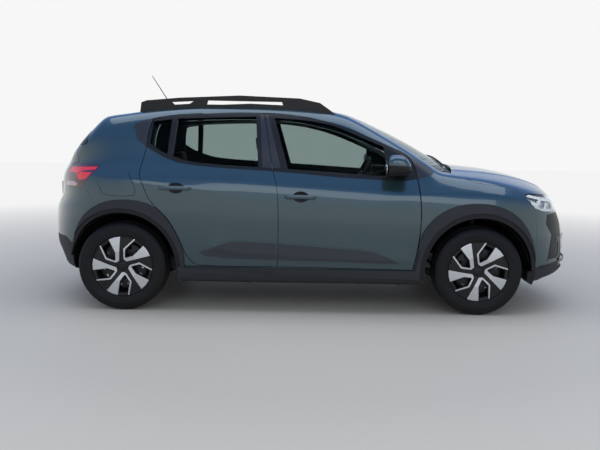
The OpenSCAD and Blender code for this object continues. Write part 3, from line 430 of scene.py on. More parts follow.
def block(name, low, high, bevel=0.0):
    # A box between two corners in mm, with its edges eased
    bpy.ops.object.select_all(action="DESELECT")
    bpy.ops.mesh.primitive_cube_add(size=1)
    obj = newObject(name)
    obj.location = [(a + b) / 2 * mm for a, b in zip(low, high)]
    obj.scale = [(b - a) * mm for a, b in zip(low, high)]
    applyPlace(obj)
    if bevel:
        applyModifier(obj, "BEVEL", width=bevel * mm, segments=2)
    return obj


def rod(name, start, end, radius, sides=12, tip=None):
    # A round bar between two points, thinner at its tip if wanted
    a, b = np.array(start, float), np.array(end, float)
    way = (b - a) / np.linalg.norm(b - a)
    aside = np.cross(way, [0, 0, 1] if abs(way[2]) < 0.9 else [1, 0, 0])
    aside /= np.linalg.norm(aside)
    other = np.cross(way, aside)
    rings = []
    for centre, r in ((a, radius), (b, radius if tip is None else tip)):
        rings.append([list(centre + r * (aside * math.cos(t) + other * math.sin(t)))
                      for t in np.linspace(0, math.tau, sides, endpoint=False)])
    return smoothBy(lofted(name, rings), 40)


# Shader groups that more than one material uses

def startGroup(name, inputs, outputs):
    group = bpy.data.node_groups.new(name, "ShaderNodeTree")
    for title, kind, value in inputs:
        socket = group.interface.new_socket(title, in_out="INPUT", socket_type=kind)
        socket.default_value = value
    for title, kind in outputs:
        group.interface.new_socket(title, in_out="OUTPUT", socket_type=kind)
    group.nodes.new("NodeGroupInput").name = "in"
    group.nodes.new("NodeGroupOutput").name = "out"
    return group


def addNode(tree, kind, **values):
    node = tree.nodes.new(kind)
    for key, value in values.items():
        if key in ("operation", "blend_type", "data_type", "interpolation_type", "feature",
                   "noise_dimensions", "wave_type", "bands_direction"):
            setattr(node, key, value)
        else:
            node.inputs[int(key[1:]) if key[0] == "i" and key[1:].isdigit() else key].default_value = value
    return node


def grainGroup():
    # Fine height grain on the object's own coordinates, and a slight change of roughness
    group = startGroup("surfaceGrain", [("Scale", "NodeSocketFloat", 400.0),
                                        ("Roughness", "NodeSocketFloat", 0.5),
                                        ("Change", "NodeSocketFloat", 0.06)],
                       [("Height", "NodeSocketFloat"), ("Roughness", "NodeSocketFloat")])
    nodes, links = group.nodes, group.links
    place = nodes.new("ShaderNodeTexCoord")
    noise = addNode(group, "ShaderNodeTexNoise", Detail=3.0)
    links.new(place.outputs["Object"], noise.inputs["Vector"])
    links.new(nodes["in"].outputs["Scale"], noise.inputs["Scale"])
    broad = addNode(group, "ShaderNodeTexNoise", Scale=9.0, Detail=2.0)
    links.new(place.outputs["Object"], broad.inputs["Vector"])
    spreadNode = addNode(group, "ShaderNodeMath", operation="SUBTRACT", i1=0.5)
    links.new(broad.outputs[0], spreadNode.inputs[0])
    scaled = addNode(group, "ShaderNodeMath", operation="MULTIPLY")
    links.new(spreadNode.outputs[0], scaled.inputs[0])
    links.new(nodes["in"].outputs["Change"], scaled.inputs[1])
    total = addNode(group, "ShaderNodeMath", operation="ADD")
    links.new(scaled.outputs[0], total.inputs[0])
    links.new(nodes["in"].outputs["Roughness"], total.inputs[1])
    links.new(noise.outputs[0], nodes["out"].inputs["Height"])
    links.new(total.outputs[0], nodes["out"].inputs["Roughness"])
    return group


def dustGroup():
    # A thin veil of road dust low on the car
    group = startGroup("roadDust", [("Colour", "NodeSocketColor", (0.1, 0.1, 0.1, 1)),
                                    ("Dust", "NodeSocketColor", (0.16, 0.15, 0.135, 1)),
                                    ("Amount", "NodeSocketFloat", 0.2),
                                    ("Height", "NodeSocketFloat", 0.5)],
                       [("Colour", "NodeSocketColor"), ("Mask", "NodeSocketFloat")])
    nodes, links = group.nodes, group.links
    place = nodes.new("ShaderNodeTexCoord")
    split = nodes.new("ShaderNodeSeparateXYZ")
    links.new(place.outputs["Object"], split.inputs[0])
    low = addNode(group, "ShaderNodeMapRange", i1=0.1, i3=1.0, i4=0.0)
    links.new(split.outputs["Z"], low.inputs[0])
    links.new(nodes["in"].outputs["Height"], low.inputs[2])
    noise = addNode(group, "ShaderNodeTexNoise", Scale=14.0, Detail=5.0)
    links.new(place.outputs["Object"], noise.inputs["Vector"])
    worn = addNode(group, "ShaderNodeMath", operation="MULTIPLY")
    links.new(low.outputs[0], worn.inputs[0])
    links.new(noise.outputs[0], worn.inputs[1])
    mask = addNode(group, "ShaderNodeMath", operation="MULTIPLY")
    links.new(worn.outputs[0], mask.inputs[0])
    links.new(nodes["in"].outputs["Amount"], mask.inputs[1])
    mix = addNode(group, "ShaderNodeMix", data_type="RGBA")
    links.new(mask.outputs[0], mix.inputs[0])
    links.new(nodes["in"].outputs["Colour"], mix.inputs[6])
    links.new(nodes["in"].outputs["Dust"], mix.inputs[7])
    links.new(mix.outputs[2], nodes["out"].inputs["Colour"])
    links.new(mask.outputs[0], nodes["out"].inputs["Mask"])
    return group


surfaceGrain = grainGroup()
roadDust = dustGroup()


def material(name, colour, roughness, metallic=0.0, grain=400, bump=0.0, dust=0.0, change=0.05,
             dustHeight=0.5, **plain):
    # One finish: grain and dust come from the groups, and what is constant is set on the shader
    made = bpy.data.materials.new(name)
    made.use_nodes = True
    made.diffuse_color = (*colour[:3], 1)
    tree = made.node_tree
    shader = tree.nodes["Principled BSDF"]
    shader.inputs["Metallic"].default_value = metallic
    for key, value in plain.items():
        shader.inputs[key.replace("_", " ")].default_value = value
    fine = tree.nodes.new("ShaderNodeGroup")
    fine.node_tree = surfaceGrain
    fine.inputs["Scale"].default_value = grain
    fine.inputs["Roughness"].default_value = roughness
    fine.inputs["Change"].default_value = change
    tree.links.new(fine.outputs["Roughness"], shader.inputs["Roughness"])
    if bump:
        raised = addNode(tree, "ShaderNodeBump", Strength=1.0, Distance=bump)
        tree.links.new(fine.outputs["Height"], raised.inputs["Height"])
        tree.links.new(raised.outputs["Normal"], shader.inputs["Normal"])
    veil = tree.nodes.new("ShaderNodeGroup")
    veil.node_tree = roadDust
    veil.inputs["Colour"].default_value = (*colour[:3], 1)
    veil.inputs["Amount"].default_value = dust
    veil.inputs["Height"].default_value = dustHeight
    tree.links.new(veil.outputs["Colour"], shader.inputs["Base Color"])
    return made


def srgb(r, g, b):
    return tuple((c / 255 / 12.92) if c < 10.3 else ((c / 255 + 0.055) / 1.055) ** 2.4
                 for c in (r, g, b))


finishes = {
    "paint": dict(colour=srgb(44, 68, 76), roughness=0.3, metallic=0.6, grain=2600, bump=0.0,
                  dust=0.05, Coat_Weight=1.0, Coat_Roughness=0.02),
    "cladding": dict(colour=srgb(40, 43, 49), roughness=0.6, grain=900, bump=0.0004, dust=0.1,
                     Specular_IOR_Level=0.3),
    "archLip": dict(colour=srgb(22, 24, 28), roughness=0.55, grain=900, bump=0.0003, dust=0.08,
                    Specular_IOR_Level=0.25),
    # A dark blue-grey band low on the doors, darker than the paint
    "moulding": dict(colour=srgb(36, 44, 53), roughness=0.4, grain=900, bump=0.0001, dust=0.08),
    "glossBlack": dict(colour=srgb(9, 9, 11), roughness=0.14, dust=0.03),
    "satinBlack": dict(colour=srgb(15, 15, 17), roughness=0.4, grain=700, bump=0.0001, dust=0.05,
                       Specular_IOR_Level=0.3),
    "rubber": dict(colour=srgb(13, 14, 16), roughness=0.58, grain=500, bump=0.0003, dust=0.05,
                   Specular_IOR_Level=0.25),
    "liner": dict(colour=srgb(9, 9, 10), roughness=0.85, grain=300, bump=0.0006, dust=0.1,
                  Specular_IOR_Level=0.15),
    "chassis": dict(colour=srgb(52, 53, 55), roughness=0.6, metallic=0.5, grain=120, bump=0.0004,
                    dust=0.6),
    "underbody": dict(colour=srgb(38, 39, 41), roughness=0.7, grain=160, bump=0.0005, dust=0.5),
    "engine": dict(colour=srgb(140, 142, 144), roughness=0.5, metallic=0.8, grain=200,
                   bump=0.0004),
    "steel": dict(colour=srgb(130, 126, 120), roughness=0.4, metallic=0.9, grain=240,
                  bump=0.0002, dust=0.4),
    "silver": dict(colour=srgb(196, 199, 203), roughness=0.3, metallic=0.75, grain=1500,
                   Coat_Weight=0.6),
    "pillarGrey": dict(colour=srgb(33, 33, 38), roughness=0.34, dust=0.04),
    "skidGrey": dict(colour=srgb(112, 115, 119), roughness=0.45, metallic=0.3, dust=0.2),
    "wheelSteel": dict(colour=srgb(16, 16, 18), roughness=0.5, metallic=0.3, grain=300,
                       bump=0.0002, dust=0.1),
    "wheelBlack": dict(colour=srgb(12, 12, 15), roughness=0.34, grain=800, dust=0.04,
                       Specular_IOR_Level=0.35),
    "barGrey": dict(colour=srgb(92, 99, 106), roughness=0.4, metallic=0.3, dust=0.1),
    "chrome": dict(colour=srgb(225, 228, 232), roughness=0.12, metallic=1.0, change=0.02),
    "interior": dict(colour=srgb(28, 29, 32), roughness=0.7, grain=1000, bump=0.0003),
    "carpet": dict(colour=srgb(28, 28, 30), roughness=0.95, grain=1600, bump=0.001),
    "seatCloth": dict(colour=srgb(52, 54, 58), roughness=0.9, grain=1400, bump=0.0006,
                      Sheen_Weight=0.3),
    "headliner": dict(colour=srgb(150, 150, 147), roughness=0.9, grain=900, bump=0.0003),
    "lampDark": dict(colour=srgb(168, 174, 186), roughness=0.3, metallic=0.6),
    "lampWhite": dict(colour=srgb(235, 238, 242), roughness=0.25, change=0.02),
    "glass": dict(colour=srgb(178, 190, 188), roughness=0.02, change=0.01, Transmission_Weight=1.0,
                  IOR=1.1),
    "lampGlass": dict(colour=srgb(235, 240, 243), roughness=0.02, change=0.01,
                      Transmission_Weight=1.0, IOR=1.15),
    "lampRed": dict(colour=srgb(84, 0, 8), roughness=0.12, change=0.02,
                    Transmission_Weight=0.35, Coat_Weight=1.0),
    "lampBright": dict(colour=srgb(224, 8, 20), roughness=0.2, change=0.02, Coat_Weight=1.0),
    "lampReverse": dict(colour=srgb(176, 150, 164), roughness=0.15, change=0.02,
                        Coat_Weight=1.0),
    "plateBlank": dict(colour=srgb(205, 206, 204), roughness=0.5),
}
made = {name: material(name, **values) for name, values in finishes.items()}


def finish(obj, look, body, nodes=()):
    # Gives a piece its material and its body, and lets it stand for CAD nodes
    obj.data.materials.clear()
    obj.data.materials.append(made[look])
    for polygon in obj.data.polygons:
        polygon.material_index = 0
    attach(obj, body)
    if nodes:
        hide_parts(*nodes)
    return obj


def bevelEdges(obj, width, segments=2, angle=30):
    return applyModifier(obj, "BEVEL", width=width * mm, segments=segments, limit_method="ANGLE",
                         angle_limit=math.radians(angle))


def bothSides(obj, name, look, body, nodes=()):
    # Finishes a right-hand piece and its twin on the left; a body's side follows its name
    twin = mirrored(obj, name + "Left")
    obj.name = name + "Right"
    finish(obj, look, body, nodes)
    leftNodes = [node.replace("_right", "_left") for node in nodes]
    finish(twin, look, body.replace("_right", "_left"), leftNodes)
    return twin


print("settings and materials ready")


# Outlines seen from the right, in x and z, the same as the part's

aLine = [[734, 336], [759, 447], [779, 593], [785, 739], [778, 848], [762, 991], [736, 1098]]
bLine = [[-362, 1456], [-290, 1039], [-271, 975], [-256, 903], [-248, 795], [-244, 560],
         [-250, 346]]
doorTopFront = [[690, 1166], [570, 1222], [420, 1286], [271, 1346], [122, 1393],
                [-26, 1427], [-174, 1447], [-290, 1456]]
doorTopRear = [[-543, 1457], [-764, 1450], [-984, 1436], [-1120, 1416], [-1178, 1400]]
cLine = [[-1205, 1300], [-1212, 1216], [-1225, 1138], [-1240, 1067], [-1248, 995],
         [-1220, 924], [-1170, 816], [-1041, 681], [-970, 558], [-919, 442], [-868, 372],
         [-810, 346]]
frontDoorLine = aLine + doorTopFront + bLine
rearDoorLine = bLine[::-1] + doorTopRear + cLine
frontGlassLine = [[-287, 1422], [-182, 1049], [552, beltZ], [516, 1222], [345, 1292],
                  [159, 1367], [-26, 1404]]
rearGlassLine = [[-995, 1406], [-423, 1430], [-397, 1061], [-686, 1075], [-908, 1097],
                 [-1019, 1130]]
quarterGlassLine = [[-1172, 1382], [-1040, 1400], [-1058, 1146], [-1108, 1166], [-1190, 1222]]
bonnetHalf = [[frontX - 120, 0], [frontX - 128, 300], [frontX - 166, 560],
              [frontX - 198, 690], [frontX - 150, 742], [frontX, 786], [frontX + 190, 774],
              [nose - 490, 764], [nose - 455, 830], [nose - 300, 800], [nose - 226, 700],
              [nose - 150, 460], [nose - 120, 230], [nose - 112, 0]]
bonnetSide = [[800, 850], [1500, 850], [1552, 886], [1588, 901], [1790, 877], [1900, 846],
              [1990, 842], [1990, 1300], [800, 1300]]
screenHalf = [[frontX - 152, 0], [frontX - 162, 300], [frontX - 205, 540],
              [frontX - 272, 668], [frontX - 640, 610], [frontX - 1000, 545],
              [frontX - 968, 300], [frontX - 956, 0]]
roofSide = 545
hatchTop = tail + 545
hatchHalf = [[0, roofZ + 40], [500, roofZ + 40], [556, 1440], [640, 1180], [668, 1080],
             [612, 1052], [588, 960], [600, 882], [560, 800], [500, 776], [0, 770]]
hatchWindowHalf = [[0, 1372], [470, 1358], [512, 1330], [590, 1110], [560, 1078], [0, 1062]]
tailLampLine = [[-1545, 1058], [-1710, 1064], [-1790, 1070], [-2100, 1072], [-2100, 893],
                [-1816, 893], [-1699, 890], [-1593, 1005]]
headlampLine = [[1552, 878], [1588, 893], [1790, 869], [1980, 830], [1990, 752], [1834, 757],
                [1737, 759], [1639, 790], [1580, 850]]
rearBumperLine = [[-1586, 777], [-1614, 842], [-1648, 888], [-1700, 890], [-1816, 893],
                  [-2100, 893], [-2100, 200], [-1700, 200], [-1752, 500], [-1708, 640],
                  [-1640, 735]]
fuelFlapLine = [[-1489, 1024], [-1330, 1013], [-1276, 900], [-1280, 850], [-1391, 842],
                [-1514, 855], [-1560, 950]]
gap = 4.5


def archEdge(x, rx, top, foot, steps=44):
    edge = [[x + rx, foot]]
    for i in range(steps + 1):
        a = math.pi * i / steps
        c = math.cos(a)
        edge.append([x + rx * math.copysign(abs(c) ** 0.89, c),
                     hubZ + (top - hubZ) * math.sin(a) ** 0.89 if i % steps else hubZ])
    return edge + [[x - rx, foot]]


def archHole(x, r, foot=0):
    hole = [[x + r * math.cos(math.pi * i / 48), hubZ + r * math.sin(math.pi * i / 48)]
            for i in range(49)]
    return hole + [[x - r, foot], [x + r, foot]]


def cutBonnet(obj, by):
    space = prism(grown(softLine(halfShape(bonnetHalf), 3), by), "z", 700, 1300)
    within(space, grown(bonnetSide, by), "y", -1000, 1000)
    return cut(obj, space)


def cutDoors(obj, by, low=-1100, high=-60):
    for line in (frontDoorLine, rearDoorLine):
        cut(obj, prism(grown(softLine(line, 4), by), "y", low, high))
    return obj


# Doors

doorPanel = {"skin": 8, "low": 110, "frame": 42, "gap": gap, "step": 14, "inset": 30}
doorStations = {"front": (-400, 820), "rear": (-1310, -215)}


def makeDoor(which):
    low, high = doorStations[which]
    line = frontDoorLine if which == "front" else rearDoorLine
    us = spread(low, high, doorPanel["step"])
    vs = spread(64, 154, 1.1)
    skin = skinShell("doorSkin", us, vs, 0, doorPanel["skin"])
    within(skin, grown(softLine(line, 4), -doorPanel["gap"] / 2), "y", -1100, -60)
    depths = [[0, doorPanel["low"]], [beltZ - 40, doorPanel["low"]],
              [beltZ + 50, doorPanel["frame"]], [2000, doorPanel["frame"]]]
    box = skinShell("doorBox", spread(low, high, 60), spread(66, 152, 4), doorPanel["skin"] - 1,
                    depths)
    within(box, grown(line, -doorPanel["inset"]), "y", -1100, -60)
    holes = [frontGlassLine] if which == "front" else [rearGlassLine, quarterGlassLine]
    for hole in holes:
        cut(skin, prism(softLine(hole, 5), "y", -1100, -60))
        cut(box, prism(softLine(hole, 3), "y", -1100, -60))
    smoothBy(skin)
    smoothBy(box)
    return skin, box


def makeGlass(which):
    low, high = doorStations[which]
    lines = [frontGlassLine] if which == "front" else [rearGlassLine, quarterGlassLine]
    panes = []
    for line in lines:
        pane = skinShell("pane", spread(low, high, 30), spread(98, 154, 2), 10, 14)
        within(pane, softLine(grown(line, 4), 5), "y", -1100, -60)
        panes.append(smoothBy(pane))
    return joined("pane", panes) if len(panes) > 1 else panes[0]


for which in ("front", "rear"):
    skin, box = makeDoor(which)
    pane = makeGlass(which)
    for side in ("Right", "Left"):
        body = "door_" + which + "_" + side.lower()
        title = which.title() + side
        skinPiece = skin if side == "Right" else mirrored(skin, "doorSkin")
        boxPiece = box if side == "Right" else mirrored(box, "doorBox")
        panePiece = pane if side == "Right" else mirrored(pane, "pane")
        skinPiece.name = "doorSkin" + title
        boxPiece.name = "doorInside" + title
        panePiece.name = "doorGlass" + title
        if side == "Right":
            skinKeep, boxKeep, paneKeep = skinPiece, boxPiece, panePiece
        finish(skinPiece, "paint", body, [body])
        finish(boxPiece, "interior", body)
        finish(panePiece, "glass", body, ["glass_" + which + "_" + side.lower()])
    print("doors", which)


# Fixed side of the body with its pillars, quarter, sill and door jambs

bodySide = {"pillar": 60, "jamb": 26, "seal": 48, "swing": 25, "step": 15}
sideLine = [[735, 270], [742, 345], [742, 1046], [884, 1046], [930, 1130], [400, 1400],
            [180, 1560], [-1500, 1560], [-2100, 1300], [-2100, 893], [-1700, 890],
            [-1648, 888], [-1614, 842], [-1586, 777], [-1640, 735], [-1708, 640],
            [-1752, 500], [-1700, 270]]


def makeBodySide():
    us = spread(-1800, 950, bodySide["step"])
    vs = spread(63, 161, 1.1)
    pillars = skinShell("bodySide", us, vs, 0, bodySide["pillar"])
    within(pillars, sideLine, "y", -1100, -60)
    cutDoors(pillars, gap / 2)
    coarse = spread(-1400, 900, 60)
    deep = [[0, 158], [beltZ - 40, 158], [beltZ + 50, 80], [2000, 80]]
    rebate = [[0, 118], [beltZ - 40, 118], [beltZ + 50, 50], [2000, 50]]
    jambs = []
    for line in (frontDoorLine, rearDoorLine):
        jamb = skinShell("jamb", coarse, spread(64, 158, 4), 10, deep)
        within(jamb, grown(line, bodySide["jamb"]), "y", -1100, -60)
        space = skinShell("space", coarse, spread(62, 159, 4), -6, rebate)
        within(space, grown(line, 5), "y", -1100, -60)
        cut(jamb, space)
        cut(jamb, prism(grown(line, -bodySide["seal"]), "y", -1100, -60))
        jambs.append(jamb)
    cut(jambs[0], jambs[1], how="UNION")
    for line in (frontDoorLine, rearDoorLine):
        space = skinShell("space", coarse, spread(62, 159, 4), -6, bodySide["swing"])
        cut(jambs[0], within(space, grown(line, 5), "y", -1100, -60))
    side = cut(pillars, jambs[0], how="UNION")
    cut(side, prism(archHole(rearX, 404), "y", -1100, -60))
    cut(side, prism(archHole(frontX, 404), "y", -1100, -60))
    cut(side, prism(grown(tailLampLine, 1), "y", -1100, -60))
    cut(side, prism(grown(halfShape(screenHalf), 0.6), "z", 900, 1700))
    cutBonnet(side, 5)
    cut(side, prism([[-1700, -546], [400, -546], [400, 546], [-1700, 546]], "z", 1150, 1650))
    cut(side, prism(grown(rearShape(hatchHalf), 4), "x", tail - 20, hatchTop + 8))
    cut(side, prism([[-545, 1200], [60, 1200], [60, 1700], [-545, 1700]], "x",
                    hatchTop - 400, hatchTop))
    return smoothBy(side)


def makeSill():
    # Closed box under the doors, drawn in below like the real one
    section = [[-halfW + 92, floorZ + 8], [-halfW + 40, floorZ + 30], [-halfW + 22, 268],
               [-halfW + 13, 300], [-halfW + 13, 334], [-halfW + 150, 334],
               [-halfW + 150, floorZ + 8]]
    sill = prism(section, "x", rearX + 408, frontX - 408)
    return smoothBy(bevelEdges(sill, 4))


side = makeBodySide()
sideLeft = mirrored(side, "bodySideLeft")
side.name = "bodySideRight"
smoothBy(cut(side, prism(grown(softLine(fuelFlapLine, 4), 1.6), "y", -1100, -halfW + 52)))
finish(side, "paint", "root", ["body_sides"])
finish(sideLeft, "paint", "root", ["body_sides"])
bothSides(makeSill(), "sill", "cladding", "root", ["body_sides"])
print("body sides")


# Roof, windscreen and bonnet

def makeRoof():
    roof = skinShell("roofPanel", spread(-1640, 430, 22), spread(144, 216, 1.5), 0, 30)
    within(roof, [[hatchTop + 6, -545], [frontX - 900, -545], [frontX - 900, 545],
                  [hatchTop + 6, 545]], "z", 1200, 1700)
    cut(roof, prism(grown(halfShape(screenHalf), 0.6), "z", 900, 1700))
    return smoothBy(roof)


finish(makeRoof(), "paint", "root", ["roof_panel"])
screen = skinShell("windscreenGlass", spread(150, 1130, 22), spread(122, 238, 2), 2, 7)
within(screen, halfShape(screenHalf), "z", 900, 1700)
finish(smoothBy(screen), "glass", "root", ["windscreen"])

bonnet = skinShell("bonnetSkin", spread(890, 1960, 14), spread(103, 257, 1.4), 0, 10)
space = prism(grown(softLine(halfShape(bonnetHalf), 4), 1), "z", 700, 1300)
within(space, bonnetSide, "y", -1000, 1000)
cut(bonnet, space, how="INTERSECT")
finish(smoothBy(bonnet), "paint", "bonnet", ["bonnet"])
print("roof, screen and bonnet")


# Front fenders, bumpers and lamps

def makeFender():
    fender = skinShell("fenderRight", spread(730, 1500, 12), spread(50, 142, 1.1), 0, 8)
    within(fender, [[738, 300], [738, 344], [759, 447], [779, 593], [785, 739],
                    [778, 848], [762, 991], [757, 1030], [800, 1046], [884, 1046],
                    [930, 1130], [1100, 1130], [1700, 930], [1588, 893], [1552, 878],
                    [1580, 850], [1639, 790], [1650, 640], [1652, 300]], "y", -1100, -60)
    cut(fender, prism(archHole(frontX, 402), "y", -1100, -60))
    cut(fender, prism(grown(softLine(frontDoorLine, 4), gap / 2 + 4), "y", -1100, -60))
    cut(fender, prism(grown(headlampLine, 1), "y", -1100, -60))
    cutBonnet(fender, 5)
    cut(fender, prism(grown(halfShape(screenHalf), 1), "z", 900, 1700))
    cut(fender, prism([[frontX - 300, -655], [frontX - 100, -655], [frontX - 100, 0],
                       [frontX - 300, 0]], "z", 900, 1200))
    return smoothBy(fender)


fender = makeFender()
fenderLeft = mirrored(fender, "fenderLeft")
finish(fender, "paint", "root", ["front_fenders"])
finish(fenderLeft, "paint", "root", ["front_fenders"])

grilleHalf = [[0, 800], [420, 792], [560, 770], [520, 690], [470, 640], [0, 632]]
intakeHalf = [[0, 470], [560, 462], [640, 400], [600, 318], [0, 312]]
bumper = skinShell("frontBumper", spread(-70, 70, 1.0), spread(-35, 18, 0.8), 0, 14, 1)
within(bumper, [[1566, 860], [1580, 849], [1639, 789], [1651, 640], [1655, 240],
                [2100, 200], [2100, 866], [1800, 866]], "y", -1100, 1100)
cut(bumper, prism(archHole(frontX, 402), "y", -1100, 1100))
cut(bumper, prism(grown(headlampLine, 1), "y", -1100, -60))
cut(bumper, prism(grown(headlampLine, 1), "y", 60, 1100))
cutBonnet(bumper, 5)
cut(bumper, prism(rearShape(grilleHalf), "x", 1500, 2200))
cut(bumper, prism(rearShape(intakeHalf), "x", 1500, 2200))
finish(smoothBy(bumper), "paint", "root", ["front_bumper"])

rearBumper = skinShell("rearBumper", spread(-80, 80, 1.1), spread(-33, 21, 0.9), 0, 14, -1)
within(rearBumper, grown(rearBumperLine, -1), "y", -1100, 1100)
cut(rearBumper, prism(archHole(rearX, 402), "y", -1100, 1100))
cut(rearBumper, prism(grown(rearShape(hatchHalf), 5), "x", tail - 20, hatchTop))
finish(smoothBy(rearBumper), "paint", "root", ["rear_bumper"])
print("bumpers")

headlamp = skinShell("headlampLensRight", spread(-73, -20, 1.2), spread(2, 20, 0.8), 1, 4, 1)
within(headlamp, headlampLine, "y", -1100, -450)
headlampLeft = mirrored(headlamp, "headlampLensLeft")
for lens in (headlamp, headlampLeft):
    finish(smoothBy(lens), "lampGlass", "root", ["headlamps"])
    lens.name = "headlampLens" + ("Right" if lens == headlamp else "Left")
house = skinShell("headlampHouseRight", spread(-75, -18, 2), spread(1, 21, 1.5), 22, 27, 1)
within(house, grown(headlampLine, 9), "y", -1100, -450)
houseLeft = mirrored(house, "headlampHouseLeft")
for part in (house, houseLeft):
    finish(smoothBy(part), "lampDark", "root")

tailLamp = skinShell("tailLampRight", spread(30, 82, 1.2), spread(11, 34, 0.8), 0, 6, -1)
within(tailLamp, tailLampLine, "y", -1100, -60)
cut(tailLamp, prism(grown(rearShape(hatchHalf), 4), "x", tail - 20, hatchTop + 6))
tailLampLeft = mirrored(tailLamp, "tailLampLeft")
for lamp in (tailLamp, tailLampLeft):
    finish(smoothBy(lamp), "lampRed", "root", ["tail_lamps"])

tailgate = skinShell("tailgateSkin", spread(-72, 72, 1.2), spread(3, 78, 1.0), 0, 12, -1)
within(tailgate, rearShape(hatchHalf), "x", tail - 20, hatchTop)
cut(tailgate, prism(softLine(rearShape(hatchWindowHalf), 3), "x", tail - 20, hatchTop - 90))
finish(smoothBy(tailgate), "paint", "tailgate", ["tailgate"])
rearScreen = skinShell("tailgateGlass", spread(-56, 56, 1.6), spread(3, 78, 1.4), 3, 8, -1)
within(rearScreen, softLine(grown(rearShape(hatchWindowHalf), 3), 3), "x", tail - 20,
       hatchTop - 85)
finish(smoothBy(rearScreen), "glass", "tailgate", ["tailgate_glass"])

fin = skinShell("hatchFin", spread(-1760, -1470, 8), spread(110, 161, 1.0), -2.5, 2)
within(fin, softLine([[-1492, 1362], [-1516, 1398], [-1548, 1420], [-1800, 1420], [-1800, 1200],
                      [-1690, 1206], [-1632, 1252]], 3), "y", -1100, -60)
cut(fin, prism(grown(rearShape(hatchHalf), 4), "x", tail - 20, hatchTop + 8))
bothSides(smoothBy(fin), "hatchFin", "glossBlack", "root")

flap = skinShell("fuelFlap", spread(-1600, -1240, 14), spread(86, 122, 1.1), 0, 6)
within(flap, grown(softLine(fuelFlapLine, 4), -1.2), "y", -1100, -60)
finish(smoothBy(flap), "paint", "fuel_flap", ["fuel_flap"])
print("lamps and tailgate")


# Dark trim along the arches and sill

def makeCladding():
    us = spread(-1580, 1500, 16)
    full = skinShell("cladding", us, spread(60, 106, 1.0), -16, 0.4)
    pieces = []
    frontArch = archEdge(frontX - 25, 455, 828, 262)
    rearArch = archEdge(rearX + 27, 430, 818, 262)
    shape = prism(frontArch, "y", -1100, -60)
    cut(shape, prism(rearArch, "y", -1100, -60), how="UNION")
    cut(shape, prism([[-940, 267], [760, 267], [760, 330], [-940, 330]], "y", -1100, -60),
        how="UNION")
    cut(full, shape, how="INTERSECT")
    cut(full, prism(archHole(frontX, 398), "y", -1100, -60))
    cut(full, prism(archHole(rearX, 398), "y", -1100, -60))
    cutDoors(full, gap / 2)
    cut(full, prism(grown(frontDoorLine, gap / 2 + 4), "y", -1100, -60))
    for x, top in ((frontX, 434), (rearX, 430)):
        cut(full, prism(archHole(x, top), "y", -1100, -60))
    swing = prism(grown(frontDoorLine, gap / 2 + 16), "y", -1100, -60)
    cut(full, within(swing, [[690, 333], [800, 333], [800, 480], [690, 480]], "y", -1101, -59))
    return smoothBy(full)


def makeArchFoot():
    # Thin end of the front arch trim, over which the front door's edge swings
    foot = skinShell("archFoot", spread(690, 810, 12), spread(60, 94, 1.0), -1.5, 0.4)
    within(foot, archEdge(frontX - 25, 455, 828, 262), "y", -1100, -60)
    within(foot, [[690, 333], [810, 333], [810, 480], [690, 480]], "y", -1101, -59)
    cut(foot, prism(grown(softLine(frontDoorLine, 4), gap / 2 + 4), "y", -1100, -60))
    return smoothBy(cut(foot, prism(archHole(frontX, 434), "y", -1100, -60)))


def makeArchLip(x, r, front):
    # Inner band of an arch trim, a step lower than the outer one
    lip = skinShell("archLip", spread(x - r - 60, x + r + 60, 12), spread(60, 106, 1.0), -11, 0.4)
    within(lip, archHole(x, r - 0.5, 262), "y", -1100, -60)
    cut(lip, prism(archHole(x, 398), "y", -1100, -60))
    within(lip, archEdge(x - 25 if front else x + 27, 455 if front else 430,
                         828 if front else 818, 262), "y", -1100, -60)
    cutDoors(lip, gap / 2)
    return smoothBy(lip)


def makeSleeve(x):
    # Closes the room between a wheel house and the skin round the arch
    sleeve = skinShell("archSleeve", spread(x - 430, x + 430, 14), spread(58, 108, 1.0), 4, 190)
    within(sleeve, archHole(x, 412, 300), "y", -1100, -60)
    return smoothBy(cut(sleeve, prism(archHole(x, 404, 200), "y", -1100, -60)))


bothSides(makeSleeve(frontX), "archSleeveFront", "liner", "root")
bothSides(makeSleeve(rearX), "archSleeveRear", "liner", "root")
bothSides(makeCladding(), "cladding", "cladding", "root", ["side_cladding"])
bothSides(makeArchFoot(), "archFoot", "cladding", "root", ["side_cladding"])
bothSides(makeArchLip(frontX, 434, True), "archLipFront", "archLip", "root",
          ["side_cladding"])
bothSides(makeArchLip(rearX, 430, False), "archLipRear", "archLip", "root",
          ["side_cladding"])
print("cladding")


# Dark surround of the side windows, with its lighter pillar panels

surroundLine = [[-1305, 1330], [-1284, 1251], [-1234, 1209], [-1176, 1173], [-1081, 1124],
                [-986, 1089], [-825, 1066], [-606, 1051], [-371, 1040], [-93, 1023],
                [201, 998], [494, 985], [678, 982], [787, 1000], [867, 1024], [888, 1043],
                [834, 1086], [721, 1151], [570, 1224], [420, 1288], [271, 1348], [122, 1397],
                [-26, 1431], [-174, 1450], [-321, 1459], [-542, 1459], [-763, 1452],
                [-984, 1438], [-1132, 1417], [-1242, 1391], [-1302, 1369], [-1324, 1332]]
pillarPanel = [[-392, 1447], [-334, 1448], [-234, 1056], [-366, 1061]]
doorHoles = {"front": [frontGlassLine], "rear": [rearGlassLine, quarterGlassLine]}
doorLines = {"front": frontDoorLine, "rear": rearDoorLine}


